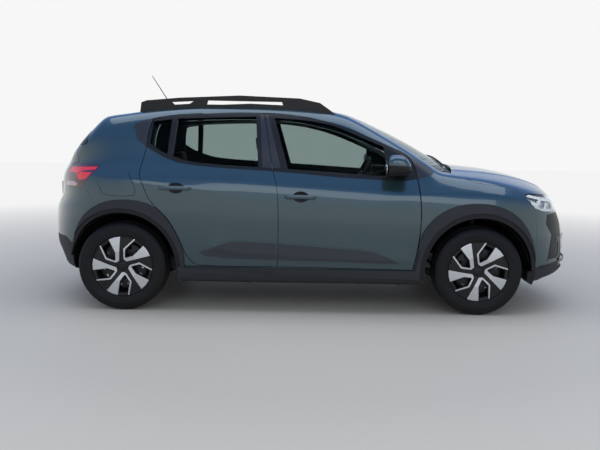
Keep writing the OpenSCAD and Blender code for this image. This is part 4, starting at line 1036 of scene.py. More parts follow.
def makeSurround(which):
    low, high = doorStations[which] if which in doorStations else (-1400, 930)
    patch = skinShell("windowTrim", spread(low, high, 14), spread(108, 153, 1.2), -1.4, 3)
    within(patch, surroundLine, "y", -1100, -60)
    if which in doorLines:
        within(patch, grown(softLine(doorLines[which], 4), -gap / 2 - 0.3), "y", -1100, -60)
        for hole in doorHoles[which]:
            cut(patch, prism(softLine(hole, 5), "y", -1100, -60))
    else:
        cutDoors(patch, gap / 2 + 0.3)
        cut(patch, prism(grown(halfShape(screenHalf), 1.5), "z", 900, 1700))
        cutBonnet(patch, 6)
    return smoothBy(patch)


def makePillar(which):
    patch = sidePatch("pillarPanel", pillarPanel, -2.2, 1, 10)
    within(patch, grown(doorLines[which], -gap / 2 - 0.6), "y", -1100, -60)
    return smoothBy(patch)


for which in ("front", "rear"):
    body = "door_" + which + "_right"
    bothSides(makeSurround(which), "windowTrim" + which.title(), "satinBlack", body)
    bothSides(makePillar(which), "pillarPanel" + which.title(), "pillarGrey", body)
bothSides(makeSurround("body"), "windowTrimBody", "pillarGrey", "root")
print("window surround")


# Door handles over their recesses, a dark blue-grey band low on the doors, and a strip of body paint along
# the band's top edge as a painted highlight

handles = {"front": {"from": -205, "to": 32, "z": 857, "recess": -84},
           "rear": {"from": -1112, "to": -867, "z": 908, "recess": -982}}
handleShape = {"half": 15, "deep": 9, "out": 27, "recess": (58, 24, 41)}
# Outline of a dark blue-grey band low on the doors, standing a few mm out from the skin
darkDoorBandLine = [[-816, 445], [-772, 460], [-700, 498], [-606, 529], [-519, 535], [-244, 524],
                [60, 503], [351, 483], [460, 469], [533, 437], [637, 380], [571, 379],
                [208, 388], [-228, 395], [-591, 401], [-772, 416]]
# Outline of a strip of body paint along the band's top edge, standing in for the bright line there: a
# painted highlight
mouldingEdge = [[-772, 460], [-700, 498], [-606, 529], [-519, 535], [-244, 524], [60, 503],
                [351, 483], [460, 469], [533, 437], [525, 434], [452, 461], [350, 475],
                [60, 495], [-244, 516], [-518, 527], [-603, 521], [-696, 491], [-764, 456]]


def makeHandle(which):
    at = handles[which]
    rings = []
    for t in np.linspace(0, 1, 21):
        edge = abs(2 * t - 1)
        x = at["from"] + (at["to"] - at["from"]) * t
        out = handleShape["out"] * (1 - edge ** 5) - 3 * edge ** 5
        size = (1 - edge ** 7) ** 0.5 * 0.88 + 0.12
        rings.append(ovalRing([x, -sideY(x, at["z"]) - out, at["z"] - 3 * edge ** 2],
                              handleShape["deep"] * size, handleShape["half"] * size, 18, "x", 0.8))
    return smoothBy(lofted("handle", rings), 60)


def makeRecess(which):
    at = handles[which]
    bpy.ops.object.select_all(action="DESELECT")
    bpy.ops.mesh.primitive_uv_sphere_add(segments=40, ring_count=24, radius=1)
    obj = newObject("recess")
    obj.scale = [a * mm for a in handleShape["recess"]]
    obj.location = (at["recess"] * mm, (-sideY(at["recess"], at["z"]) - 1) * mm, at["z"] * mm)
    return applyPlace(obj)


for which in ("front", "rear"):
    for side in ("Right", "Left"):
        for piece in ("doorSkin", "doorInside"):
            hollow = makeRecess(which)
            if side == "Left":
                hollow.scale.y = -1
                applyPlace(hollow)
                faceOut(hollow)
            cut(bpy.data.objects[piece + which.title() + side], hollow)
    body = "door_" + which + "_right"
    bothSides(makeHandle(which), "handle" + which.title(), "paint", body)
    # The dark blue-grey band, then the strip of body paint on its top edge as a painted highlight
    for name, line, out, look in (("moulding", darkDoorBandLine, -4, "moulding"),
                                  ("mouldingEdge", mouldingEdge, -6, "paint")):
        strip = sidePatch(name, line, out, 2, 10)
        within(strip, grown(doorLines[which], -3.5 if which == "front" else -9), "y", -1100, -60)
        bothSides(smoothBy(strip), name + which.title(), look, body)
print("handles and darkDoorBands")


# Mirrors on the front doors

mirrorLine = [[517, 1117], [532, 1148], [558, 1166], [598, 1168], [636, 1161], [680, 1120],
              [696, 1077], [690, 1040], [640, 1026], [560, 1020], [520, 1020]]
mirrorSet = {"centre": (606, 1092), "rings": [(-842, 0.55), (-850, 0.72), (-866, 0.88),
                                              (-890, 0.97), (-925, 1.0), (-955, 0.96),
                                              (-978, 0.86), (-992, 0.68), (-999, 0.45)]}


def makeMirror():
    shape = softLine(mirrorLine, 4, 70)
    cx, cz = mirrorSet["centre"]
    rings = [[[cx + (p[0] - cx) * f + (1 - f) * 6, y, cz + (p[1] - cz) * f] for p in shape]
             for y, f in mirrorSet["rings"]]
    return lofted("mirror", rings)


split = [[400, 1098], [539, 1096], [674, 1091], [800, 1088], [800, 1300], [400, 1300]]
cap = makeMirror()
within(cap, split, "y", -1100, -700)
shell = cut(makeMirror(), prism(grown(split, 0.6), "y", -1100, -700))
foot = lofted("foot", [ovalRing([645, y, z], a, b, 20, "y") for y, z, a, b in
                       ((-905, 1044, 30, 16), (-875, 1038, 32, 14), (-845, 1034, 38, 15),
                        (-815, 1032, 48, 20), (-795, 1034, 52, 24))])
sail = sidePatch("sail", [[560, 1012], [736, 1012], [732, 1100], [700, 1152], [640, 1120]], -3, 4,
                 9)
within(sail, grown(frontDoorLine, -gap / 2 - 0.5), "y", -1100, -60)
glassRing = [[516.5, -925 + 56 * math.cos(t), 1066 + 40 * math.sin(t)]
             for t in np.linspace(0, math.tau, 28, endpoint=False)]
glass = lofted("mirrorGlass", [glassRing, [[519, p[1], p[2]] for p in glassRing]])
bothSides(smoothBy(cap, 40), "mirrorCap", "paint", "door_front_right")
bothSides(smoothBy(joined("mirrorShell", [shell, foot, sail]), 40), "mirrorShell", "satinBlack",
          "door_front_right")
bothSides(glass, "mirrorGlass", "chrome", "door_front_right")
print("mirrors")


# Dark lower bumpers, black corners beside the intakes, blank plates and the cowl

bumperLine = {"front": [[1540, 190], [1560, 262], [1600, 340], [1640, 352], [1700, 358],
                        [1801, 370], [1877, 380], [2080, 388], [2080, 190]],
              "rear": [[-2080, 520], [-1846, 519], [-1812, 500], [-1795, 484], [-1742, 479],
                       [-1700, 470], [-1640, 300], [-1640, 190], [-2080, 190]]}
cornerLine = [[1749, 742], [1820, 748], [1880, 750], [2080, 744], [2080, 400], [1841, 402],
              [1768, 406], [1773, 441], [1799, 588], [1778, 618], [1741, 671]]
cornerBars = [[[1846, 560], [1912, 576], [1990, 584], [1990, 573], [1914, 565], [1850, 549]],
              [[1851, 540], [1908, 557], [1990, 566], [1990, 557], [1910, 548], [1855, 530]],
              [[1764, 396], [1855, 400], [1885, 432], [1890, 560], [1880, 560], [1876, 436],
               [1851, 411], [1766, 407]]]
lipLine = [[1690, 345], [1801, 356], [1877, 368], [2080, 374], [2080, 392], [1877, 386],
           [1801, 374], [1690, 363]]


def splitBumper(bumper, line, name):
    # The dark lower part is a copy that keeps what the painted part loses
    pickOnly(bumper)
    bpy.ops.object.duplicate()
    lower = newObject(name)
    within(lower, grown(line, -0.6), "y", -1100, 1100)
    cut(bumper, prism(grown(line, 0.6), "y", -1100, 1100))
    return finish(smoothBy(lower), "cladding", "root",
                  ["front_bumper" if name.startswith("front") else "rear_bumper"])


splitBumper(bumper, bumperLine["front"], "frontBumperLower")
splitBumper(rearBumper, bumperLine["rear"], "rearBumperLower")


def nosePatch(name, line, outer, inner, low=-1100, high=-560, fine=1.0):
    patch = skinShell(name, spread(-72, -12 if high < 0 else 72, fine), spread(-26, 20, 0.8),
                      outer, inner, 1)
    return smoothBy(within(patch, line, "y", low, high))


bothSides(nosePatch("noseCorner", cornerLine, -1.5, 3), "noseCorner", "satinBlack", "root")
bars = [nosePatch("noseBar", line, -4, 2, -1100, -545) for line in cornerBars]
bothSides(joined("noseBars", bars), "noseBars", "barGrey", "root")
finish(nosePatch("frontLip", lipLine, -5, 2, -610, 610), "skidGrey", "root")
bothSides(nosePatch("frontGroove", lipLine, -2, 2, -1100, -612), "frontGroove", "satinBlack",
          "root")
deflector = prism([[1592, 330], [1590, 262], [1620, 231], [1628, 234], [1640, 262],
                   [1640, 330]], "y", -822, -640)
bothSides(deflector, "airDeflector", "satinBlack", "root")

# Horizontal bars of the grille and of the lower intake, in front of the dark liner
for name, count, low, high, wide, deep in (("grilleBars", 5, 648, 790, 500, 26),
                                           ("intakeBars", 6, 326, 458, 560, 24)):
    bars = []
    for i in range(count):
        z = low + (high - low) * i / (count - 1)
        rings = [ovalRing([skinEnd(y, z) - deep, y, z], 7, 5, 8, "y", 0.7)
                 for y in np.linspace(-wide, wide, 25)]
        bars.append(lofted("bar", rings))
    finish(smoothBy(joined(name, bars), 40), "glossBlack", "root")

plates = {"plateFront": ("root", 1, 438, 548), "plateRear": ("tailgate", -1, 792, 902)}
for name, (body, way, low, high) in plates.items():
    x = skinEnd(0, (low + high) / 2, way) + 5 * way
    ends = sorted((x - 5 * way, x))
    plate = block(name, (ends[0], -258, low), (ends[1], 258, high), 2)
    finish(plate, "plateBlank", body)
    ends = sorted((x - 48 * way, x - 3 * way))
    holder = block(name + "Holder", (ends[0], -266, low - 7), (ends[1], 266, high + 7), 4)
    finish(holder, "satinBlack", body)

cowlHalf = [[frontX - 100, 0], [frontX - 108, 300], [frontX - 146, 560], [frontX - 180, 650],
            [frontX - 262, 650], [frontX - 228, 540], [frontX - 182, 300], [frontX - 172, 0]]
cowl = skinShell("cowlPanel", spread(930, 1150, 8), spread(124, 236, 1.5), 22, 27)
within(cowl, halfShape(cowlHalf), "z", 900, 1300)
finish(smoothBy(cowl), "satinBlack", "root")

wiperPaths = [[[1052, -500], [1012, -330], [985, -120], [975, 40]],
              [[1050, 60], [1010, 220], [985, 400], [968, 560]]]
wipers = []
for path in wiperPaths:
    points = softLine(path, 8, 60, closed=False)
    arm = [ovalRing([p[0], p[1], float(topHeight(p[0], p[1])) + 9], 7, 5, 8, "y") for p in points]
    blade = [ovalRing([p[0] - 14, p[1], float(topHeight(p[0] - 14, p[1])) + 4], 4, 5, 8, "y")
             for p in points[4:]]
    wipers += [lofted("wiper", arm), lofted("blade", blade)]
finish(smoothBy(joined("wipers", wipers), 40), "satinBlack", "root")
print("bumper trim, plates and cowl")


# Light bars in the lamps, roof aerial and the little things at the back

lampBars = [[[1564, 876], [1590, 888], [1690, 866], [1800, 848], [1900, 836], [1970, 826], [1970, 808],
             [1880, 818], [1790, 830], [1700, 842], [1640, 858]],
            [[1676, 850], [1706, 846], [1664, 800], [1690, 788], [1740, 782], [1800, 776],
             [1800, 764], [1718, 766], [1640, 790], [1622, 800]],
            [[1742, 826], [1764, 824], [1738, 780], [1716, 784]],
            [[1830, 818], [1846, 816], [1824, 770], [1806, 774]],
            [[1600, 846], [1650, 826], [1640, 800], [1604, 822]]]
bars = []
for line in lampBars:
    bar = skinShell("lampBar", spread(-73, -20, 1.0), spread(2, 20, 0.6), 9, 20, 1)
    bars.append(within(bar, line, "y", -1100, -470))
bothSides(smoothBy(joined("lampBars", bars)), "lampBars", "lampWhite", "root")

tailBars = {"upper": ("lampBright", [[-1900, 1000], [-1760, 1000], [-1737, 980], [-1695, 1014],
                                   [-1578, 1028], [-1566, 1047], [-1703, 1042], [-1760, 1040],
                                   [-1900, 1040]]),
            "middle": ("lampBright", [[-1752, 996], [-1703, 1006], [-1606, 1007], [-1626, 984],
                                    [-1654, 958], [-1713, 947]]),
            "reverse": ("lampReverse", [[-1900, 930], [-1764, 934], [-1728, 919], [-1742, 902],
                                      [-1900, 902]])}
for name, (look, line) in tailBars.items():
    bar = skinShell("tailBar", spread(30, 82, 1.2), spread(11, 34, 0.8), -0.8, 2, -1)
    within(bar, line, "y", -1100, -60)
    cut(bar, prism(grown(rearShape(hatchHalf), 6), "x", tail - 20, hatchTop + 6))
    within(bar, grown(tailLampLine, -5), "y", -1100, -60)
    bothSides(smoothBy(bar), "tailBar" + name.title(), look, "root")

foot = [-1150, 0, float(topHeight(-1150, 0))]
base = lofted("aerialFoot", [ovalRing([foot[0] - k * 4, 0, foot[2] - 4 + k * 7], 34 - k * 6,
                                      17 - k * 3, 18, "z") for k in range(5)])
whip = rod("whip", (foot[0] - 10, 0, foot[2] + 16), (-1326, 0, 1770), 4.2, 10, 2.6)
finish(joined("aerial", [smoothBy(base, 60), whip]), "satinBlack", "root",
       ["roof_panel"])

x = skinEnd(0, 922, -1)
handle = block("hatchHandle", (x - 7, -170, 912), (x + 40, 170, 934), 4)
finish(handle, "satinBlack", "tailgate")
pivot = np.array([tail + 118, 0, 1096.0])
sweep = [rod("arm", pivot, pivot + [22, -150, 26], 7, 10, 5),
         rod("blade", pivot + [20, -20, 12], pivot + [84, -310, 70], 5, 8),
         lofted("wiperCap", [ovalRing([pivot[0] - 12 + 8 * k, 0, pivot[2] - 4 * k], 20 - k, 20 - k,
                                      20, "x") for k in range(4)])]
finish(joined("rearWiper", sweep), "satinBlack", "tailgate")
print("lamp bars and aerial")


# Wheels: the two-tone cover is modelled in full relief

wheelSet = {"axis": 757, "tyreR": 326, "halfTyre": 102.5, "rimR": 203, "coverR": 218,
            "blades": 5, "angles": {"front_right": 45.3, "rear_right": 33.0, "front_left": 8.0,
                                    "rear_left": 54.0}}
coverLines = {
    "blade": [[213, -42.5], [216, -20], [218, 0], [216, 22], [213, 43], [109, 21.5], [60, 34.5],
              [51, 43], [88, 93.5], [184, 112], [187, 122], [82, 104], [76, 99], [39, 44],
              [38, 30], [44, 13]],
    "window": [[207, 46], [112, 28], [64, 40], [58, 47], [91, 89], [179, 106], [193, 84],
               [204, 62]],
    "pocket": [[196, 50], [120, 35], [84, 46], [98, 80], [168, 94], [184, 76]],
}


def lathe(name, profile, steps=96):
    # A closed profile of radius and height, turned round the wheel's axis by Screw
    bpy.ops.object.select_all(action="DESELECT")
    bpy.ops.mesh.primitive_circle_add(vertices=len(profile), radius=1, fill_type="NOTHING")
    obj = newObject(name)
    place = np.array([[p[0], 0, p[1]] for p in profile], dtype=float) * mm
    obj.data.vertices.foreach_set("co", place.ravel())
    obj.data.update()
    applyModifier(obj, "SCREW", axis="Z", angle=math.tau, steps=steps, render_steps=steps,
                  use_merge_vertices=True, merge_threshold=0.00001)
    return faceOut(obj)


def coverHeight(r):
    # The cover's face: high at mid radius, lower at the hub and at the rim
    return float(np.interp(r, [0, 36, 60, 112, 170, 219], [84, 85, 87.5, 94, 92, 88]))


def turned(points, angle):
    c, s = math.cos(math.radians(angle)), math.sin(math.radians(angle))
    return [[p[0] * c - p[1] * s, p[0] * s + p[1] * c] for p in points]


def aroundHub(line, low, high, soft=None, by=0.0):
    # The same prism five times round the hub, as one cutter
    pieces = []
    for i in range(wheelSet["blades"]):
        points = grown(line, by) if by else line
        points = softLine(points, soft, 24) if soft else points
        pieces.append(prism(turned(points, i * 360 / wheelSet["blades"]), "z", low, high))
    return joined("cutter", pieces)


def domed(name, low, high, inner=30, outer=218, steps=150):
    radii = [inner] + list(range(int(inner) + 6, int(outer) - 3, 7)) + [outer]
    radii = sorted(set(radii + [112]))
    top = [[r, coverHeight(r) + high] for r in radii]
    bottom = [[r, coverHeight(r) + low] for r in reversed(radii)]
    return lathe(name, top + bottom, steps)


def bevelled(obj, width, segments=2, angle=35):
    return applyModifier(obj, "BEVEL", width=width * mm, segments=segments, limit_method="ANGLE",
                         angle_limit=math.radians(angle), harden_normals=False)


def makeCover():
    base = domed("coverBase", -9, 0, 28, 218.5)
    cut(base, aroundHub(coverLines["window"], 60, 110, soft=3))
    lip = lathe("coverLip", [[213, 84], [219.5, 84], [220.5, 86], [219.5, 90.5], [217, 91],
                             [214.5, 89]], 120)
    base = joined("coverBase", [base, lip])
    silver = domed("coverSilver", -2, 3.6, 34, 218)
    cut(silver, aroundHub(coverLines["blade"], 60, 110), how="INTERSECT")
    bevelled(silver, 1.1, 2, 40)
    sunk = domed("coverWalls", -26, -4, 30, 214, 100)
    wall = aroundHub(coverLines["window"], 50, 110, soft=3, by=3.0)
    cut(sunk, wall, how="INTERSECT")
    cut(sunk, aroundHub(coverLines["window"], 40, 120, soft=3))
    cap = lathe("coverCap", [[0.2, 80], [0.2, 89.5], [20, 89], [29, 87.6], [31.5, 86], [33.5, 88],
                             [36, 88.4], [38, 86.5], [38, 80]], 60)
    inner = lathe("capRing", [[23, 87], [23.6, 89.6], [25, 89.6], [25.6, 87]], 60)
    base = joined("coverBase", [base, sunk, cap, inner])
    return smoothBy(base, 35), smoothBy(silver, 30)


def makeSteelWheel():
    r = wheelSet["rimR"]
    barrel = lathe("barrel", [[r - 6, -84], [r - 2, -88], [r + 12, -91], [r + 17, -88],
                              [r + 17, -84], [r + 4, -80], [r - 1, -70], [r - 1, -50],
                              [r - 20, -40], [r - 24, -8], [r - 20, 14], [r - 5, 34],
                              [r - 1, 50], [r - 1, 72], [r + 4, 80], [r + 16, 82],
                              [r + 17, 86], [r + 12, 89], [r - 2, 88], [r - 6, 84],
                              [r - 6, 50], [r - 10, 37], [r - 25, 18], [r - 29, -8],
                              [r - 25, -44], [r - 6, -54]], 120)
    disc = lathe("disc", [[30, 35], [30, 40], [62, 40], [78, 50], [110, 58], [150, 58],
                          [172, 48], [182, 28], [178, 24], [168, 42], [148, 52], [112, 52],
                          [82, 44], [66, 34.6]], 96)
    holes = []
    for i in range(15):
        a = math.radians(24 * i + 12)
        bpy.ops.mesh.primitive_cylinder_add(vertices=20, radius=0.0125, depth=0.06,
                                            location=(0.142 * math.cos(a), 0.142 * math.sin(a),
                                                      0.055))
        holes.append(newObject("hole"))
    cut(disc, joined("holes", holes))
    nuts = []
    for i in range(4):
        a = math.radians(90 * i + 45)
        bpy.ops.mesh.primitive_cylinder_add(vertices=6, radius=0.0115, depth=0.022,
                                            location=(0.05 * math.cos(a), 0.05 * math.sin(a),
                                                      0.05))
        nuts.append(newObject("nut"))
    bpy.ops.mesh.primitive_cylinder_add(vertices=16, radius=0.0035, depth=0.034,
                                        location=(0.19, 0.0, 0.072))
    nuts.append(newObject("valve"))
    wheel = joined("steelWheel", [barrel, disc] + nuts)
    return smoothBy(wheel, 30)


def makeTyre():
    w, R, r = wheelSet["halfTyre"], wheelSet["tyreR"], wheelSet["rimR"]
    side = [[r + 1, w - 28], [r + 2, w - 24], [r + 16, w - 21], [r + 18, w - 16], [r + 21, w - 8],
            [r + 25, w - 5.6], [r + 30, w - 5], [r + 32, w - 3.6], [r + 36, w - 3.4],
            [r + 37.5, w - 2.4], [R - 66, w - 0.6], [R - 58, w], [R - 44, w - 0.8],
            [R - 42, w - 2.0], [R - 36, w - 3.0], [R - 30, w - 4.6], [R - 29, w - 3.6],
            [R - 25, w - 5.2], [R - 16, w - 10], [R - 9, w - 15.5], [R - 4.5, w - 22],
            [R - 2.2, w - 30]]
    tread = []
    for middle in (50, 17):
        tread += [[R - 0.8, middle + 5], [R - 7.5, middle + 4], [R - 7.5, middle - 4],
                  [R - (0.4 if middle > 20 else 0), middle - 5]]
    half = side + tread
    outside = half + [[p[0], -p[1]] for p in reversed(half)]
    inside = [[r + 4, -w + 30], [r + 30, -w + 12], [R - 60, -w + 9], [R - 22, -w + 24],
              [R - 14, -w + 44], [R - 14, w - 44], [R - 22, w - 24], [R - 60, w - 9],
              [r + 30, w - 12], [r + 4, w - 30]]
    tyre = lathe("tyre", outside + inside, 140)
    bars = []
    count = 52
    for i in range(count):
        for side, lean in ((1, 20), (-1, -20)):
            bpy.ops.mesh.primitive_cube_add(size=1, location=(R * mm, 0, side * 0.078))
            bar = newObject("bar")
            bar.scale = (0.013, 0.0042, 0.05)
            bar.rotation_euler.x = math.radians(lean)
            applyPlace(bar)
            bar.rotation_euler.z = math.tau * (i + (0.5 if side < 0 else 0)) / count
            bars.append(bar)
    block = joined("bars", bars)
    applyPlace(block)
    cut(tyre, block)
    return smoothBy(tyre, 28)


def layWheel(obj, spot, name, spin=0.0):
    # Copies a part of a wheel into its place, its outer face away from the car
    pickOnly(obj)
    bpy.ops.object.duplicate()
    twin = newObject(name)
    right = spot.endswith("right")
    twin.rotation_euler.z = math.radians(spin)
    applyPlace(twin)
    twin.rotation_euler = (math.pi / 2, 0, 0 if right else math.pi)
    x = frontX if spot.startswith("front") else rearX
    twin.location = (x * mm, (-1 if right else 1) * wheelSet["axis"] * mm, hubZ * mm)
    return applyPlace(twin)


coverBase, coverSilver = makeCover()
steelWheel, tyre = makeSteelWheel(), makeTyre()
for spot, spin in wheelSet["angles"].items():
    title = "".join(word.title() for word in spot.split("_"))
    for obj, name, look, cadSlot in ((coverBase, "coverBase", "wheelBlack", "rim"),
                                     (coverSilver, "coverSilver", "silver", "rim"),
                                     (steelWheel, "steelWheel", "wheelSteel", "rim")):
        piece = layWheel(obj, spot, name + title, spin)
        finish(piece, look, "wheel_" + spot,
               ["rim_" + spot] if name == "steelWheel" else ())
    piece = layWheel(tyre, spot, "tyre" + title, spin * 0.7)
    finish(piece, "rubber", "wheel_" + spot, ["tyre_" + spot])
for obj in (coverBase, coverSilver, steelWheel, tyre):
    remove(obj)
print("wheels")


# Seats: crowned cushions with pulled-in sides and sewn channels, made vertex by vertex

cushions = {
    "frontBase": {"at": (-190, 375), "size": (500, 150), "width": 490, "lean": -6, "up": "z",
                  "crown": 0.16, "bolster": 22, "seams": [-0.32, 0.32], "across": [-0.45, 0.15]},
    "frontBack": {"at": (-150, 455), "size": (130, 620), "width": 470, "lean": -22, "up": "x",
                  "crown": 0.2, "bolster": 26, "seams": [-0.34, 0.34], "across": [-0.3, 0.3]},
    "frontHead": {"at": (-400, 1085), "size": (90, 200), "width": 255, "lean": -14, "up": "x",
                  "crown": 0.3, "bolster": 0, "seams": [], "across": []},
    "rearBase": {"at": (-950, 437), "size": (480, 130), "width": 1125, "lean": -5, "up": "z",
                 "crown": 0.14, "bolster": 8, "seams": [-0.2, 0.2], "across": [0.1]},
    "rearBack": {"at": (-930, 480), "size": (130, 560), "width": 1140, "lean": -24, "up": "x",
                 "crown": 0.16, "bolster": 8, "seams": [-0.2, 0.2], "across": [0.0]},
    "rearHead": {"at": (-1170, 990), "size": (80, 150), "width": 245, "lean": -16, "up": "x",
                 "crown": 0.3, "bolster": 0, "seams": [], "across": []},
}


def makeCushion(name, middle):
    pad = cushions[name]
    long, tall = pad["size"]
    bpy.ops.object.select_all(action="DESELECT")
    bpy.ops.mesh.primitive_cube_add(size=2)
    obj = newObject(name)
    fine = 5 if name.endswith("Head") else 6
    applyModifier(obj, "SUBSURF", subdivision_type="SIMPLE", levels=fine, render_levels=fine)
    co = np.empty(len(obj.data.vertices) * 3)
    obj.data.vertices.foreach_get("co", co)
    co = co.reshape(-1, 3)
    # Rounded form: the cube's points drawn in towards a squarish oval
    most = np.abs(co).max(1, keepdims=True)
    co = co * most / (np.abs(co) ** 7).sum(1, keepdims=True) ** (1 / 7)
    if pad["up"] == "z":
        thick, length = co[:, 2].copy(), co[:, 0].copy()
    else:
        thick, length = co[:, 0].copy(), co[:, 2].copy()
    wide = co[:, 1].copy()
    full = (1 - length ** 2) * (1 - wide ** 2)
    thickness, run = (tall, long) if pad["up"] == "z" else (long, tall)
    lift = thick * thickness / 2 * (0.86 + pad["crown"] * full)
    top = ramp(0.2, 0.9, thick)
    lift = lift + pad["bolster"] * ramp(0.58, 0.86, np.abs(wide)) * top * (1 - length ** 4)
    for seam in pad["seams"]:
        lift = lift - 7 * top * np.exp(-((wide - seam * 2) * pad["width"] / 14) ** 2)
    for seam in pad["across"]:
        inside = ramp(0.72, 0.6, np.abs(wide))
        lift = lift - 6 * top * inside * np.exp(-((length - seam) * run / 14) ** 2)
    side = wide * pad["width"] / 2 * (1 - 0.03 * (1 - thick ** 2) - 0.02 * (1 - length ** 2))
    along = length * run / 2 * (1 - 0.025 * (1 - wide ** 2))
    # A welt where the sides meet the top
    welt = np.exp(-((thick - 0.74) / 0.05) ** 2)
    edge = np.maximum(np.abs(wide), np.abs(length)) > 0.9
    side = side * (1 + 0.006 * welt * edge)
    x, z = (along, lift) if pad["up"] == "z" else (lift, along)
    a = math.radians(pad["lean"])
    px, pz = x + long / 2, z + tall / 2
    place = np.stack([pad["at"][0] + px * math.cos(a) + pz * math.sin(a), side + middle,
                      pad["at"][1] - px * math.sin(a) + pz * math.cos(a)], 1) * mm
    obj.data.vertices.foreach_set("co", place.ravel())
    obj.data.update()
    pickOnly(obj)
    bpy.ops.object.shade_smooth()
    return obj


seatPlaces = {"frontBase": (-360, 360), "frontBack": (-360, 360), "frontHead": (-360, 360),
              "rearBase": (0,), "rearBack": (0,), "rearHead": (-380, 380)}
for name, middles in seatPlaces.items():
    for middle in middles:
        pad = makeCushion(name, middle)
        pad.name = name + ("" if len(middles) == 1 else "Right" if middle < 0 else "Left")
        stands = "front_seats" if name.startswith("front") else "rear_seat"
        finish(pad, "seatCloth", "root", [stands])

metal = []
for middle in (-360, 360):
    for y in (-190, 190):
        metal.append(block("rail", (-180, middle + y - 18, 246), (290, middle + y + 18, 268), 3))
        for x in (-130, 220):
            metal.append(block("foot", (x - 20, middle + y - 14, 264), (x + 20, middle + y + 14,
                                                                        392), 3))
    for y in (-60, 60):
        metal.append(rod("post", (-352, middle + y, 990), (-400, middle + y, 1110), 7, 10))
for y in (-440, -320, 320, 440):
    metal.append(rod("post", (-1130, y, 900), (-1180, y, 1010), 6, 10))
finish(joined("seatMetal", metal), "chassis", "root", ["front_seats"])
print("seats")


# Dashboard details, console, headliner and carpets

dash = [block("screenCase", (470, -100, 1010), (500, 160, 1130), 6),
        block("binnacle", (470, -500, 1030), (560, -250, 1078), 10),
        block("console", (150, -95, 262), (560, 95, 470), 14),
        block("consoleRear", (-330, -85, 262), (150, 85, 430), 14)]
for y in (-560, -150, 205, 560):
    dash.append(block("vent", (444, y - 38, 905), (462, y + 38, 955), 4))
stick = rod("stick", (330, 0, 468), (300, 0, 580), 7, 12)
bpy.ops.mesh.primitive_uv_sphere_add(segments=24, ring_count=12, radius=0.026,
                                     location=(0.299, 0, 0.6))
knob = applyPlace(newObject("knob"))
finish(smoothBy(joined("dashPieces", dash + [stick, knob]), 35), "interior", "root")
finish(block("screenFace", (466, -90, 1020), (471, 150, 1120), 1), "glossBlack", "root")
strip = block("dashStrip", (446, -600, 868), (462, 600, 884), 3)
finish(strip, "silver", "root")
liner = skinShell("headliner", spread(-1420, 250, 40), spread(146, 214, 3), 36, 41)
within(liner, [[-1430, -520], [250, -560], [250, 560], [-1430, 520]], "z", 1150, 1700)
finish(smoothBy(liner), "headliner", "root")
rugs = [block("rug", (140, s * 130 if s > 0 else -640, 237), (700, 640 if s > 0 else -130, 244),
              3) for s in (-1, 1)]
rugs += [block("rug", (-560, s * 130 if s > 0 else -640, 237), (-160, 640 if s > 0 else -130,
                                                             244), 3) for s in (-1, 1)]
finish(joined("carpets", rugs), "carpet", "root")
for which, x, z in (("front", 560, 960), ("rear", -420, 975)):
    low, high = (-150, 700) if which == "front" else (-1020, -330)
    line = [[low, 640], [high, 640], [high, 720], [low, 720]]
    rest = skinShell("armRest", spread(low, high, 30), spread(88, 98, 1.4), 100, 160)
    within(rest, line, "y", -1100, -60)
    within(rest, grown(doorLines[which], -70), "y", -1100, -60)
    bothSides(smoothBy(rest), "armRest" + which.title(), "interior", "door_" + which + "_right")
print("cabin")


# Finishes of the CAD nodes that stay

nodeLooks = {"floor_pan": "underbody", "bulkhead": "underbody", "wheel_houses": "liner",
             "roof_rails": "satinBlack", "grille": "satinBlack", "dashboard": "interior",
             "rear_axle": "chassis",
             "front_subframe": "chassis", "engine_block": "engine", "exhaust": "steel",
             "fuel_tank": "liner", "knuckle_right": "chassis", "knuckle_left": "chassis",
             "steering_wheel": "interior"}
for node, look in nodeLooks.items():
    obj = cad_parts[node]
    obj.data.materials.clear()
    obj.data.materials.append(made[look])
    if node.startswith("steering"):
        smoothBy(obj, 30)
print("carried nodes")


# Floor, light and camera

def makeStage():
    bpy.ops.object.select_all(action="DESELECT")
    bpy.ops.mesh.primitive_plane_add(size=1)
    floor = newObject("studioFloor")
    floor.scale = (60, 60, 1)
    applyPlace(floor)
    look = bpy.data.materials.new("studioPale")
    look.use_nodes = True
    tree = look.node_tree
    shader = tree.nodes["Principled BSDF"]
    shader.inputs["Base Color"].default_value = (0.52, 0.52, 0.51, 1)
    shader.inputs["Roughness"].default_value = 0.6
    place = tree.nodes.new("ShaderNodeTexCoord")
    far = addNode(tree, "ShaderNodeVectorMath", operation="LENGTH")
    fade = addNode(tree, "ShaderNodeMapRange", i1=2.6, i2=9.0)
    glow = tree.nodes.new("ShaderNodeEmission")
    glow.inputs["Color"].default_value = (0.9, 0.9, 0.9, 1)
    both = tree.nodes.new("ShaderNodeMixShader")
    tree.links.new(place.outputs["Object"], far.inputs[0])
    tree.links.new(far.outputs["Value"], fade.inputs[0])
    tree.links.new(fade.outputs[0], both.inputs[0])
    tree.links.new(shader.outputs[0], both.inputs[1])
    tree.links.new(glow.outputs[0], both.inputs[2])
    tree.links.new(both.outputs[0], tree.nodes["Material Output"].inputs[0])
    floor.data.materials.append(look)


makeStage()

world = bpy.data.worlds.new("studio")
bpy.context.scene.world = world
world.use_nodes = True
worldTree = world.node_tree
background = worldTree.nodes["Background"]
background.inputs["Color"].default_value = (0.88, 0.89, 0.9, 1)
background.inputs["Strength"].default_value = 0.62
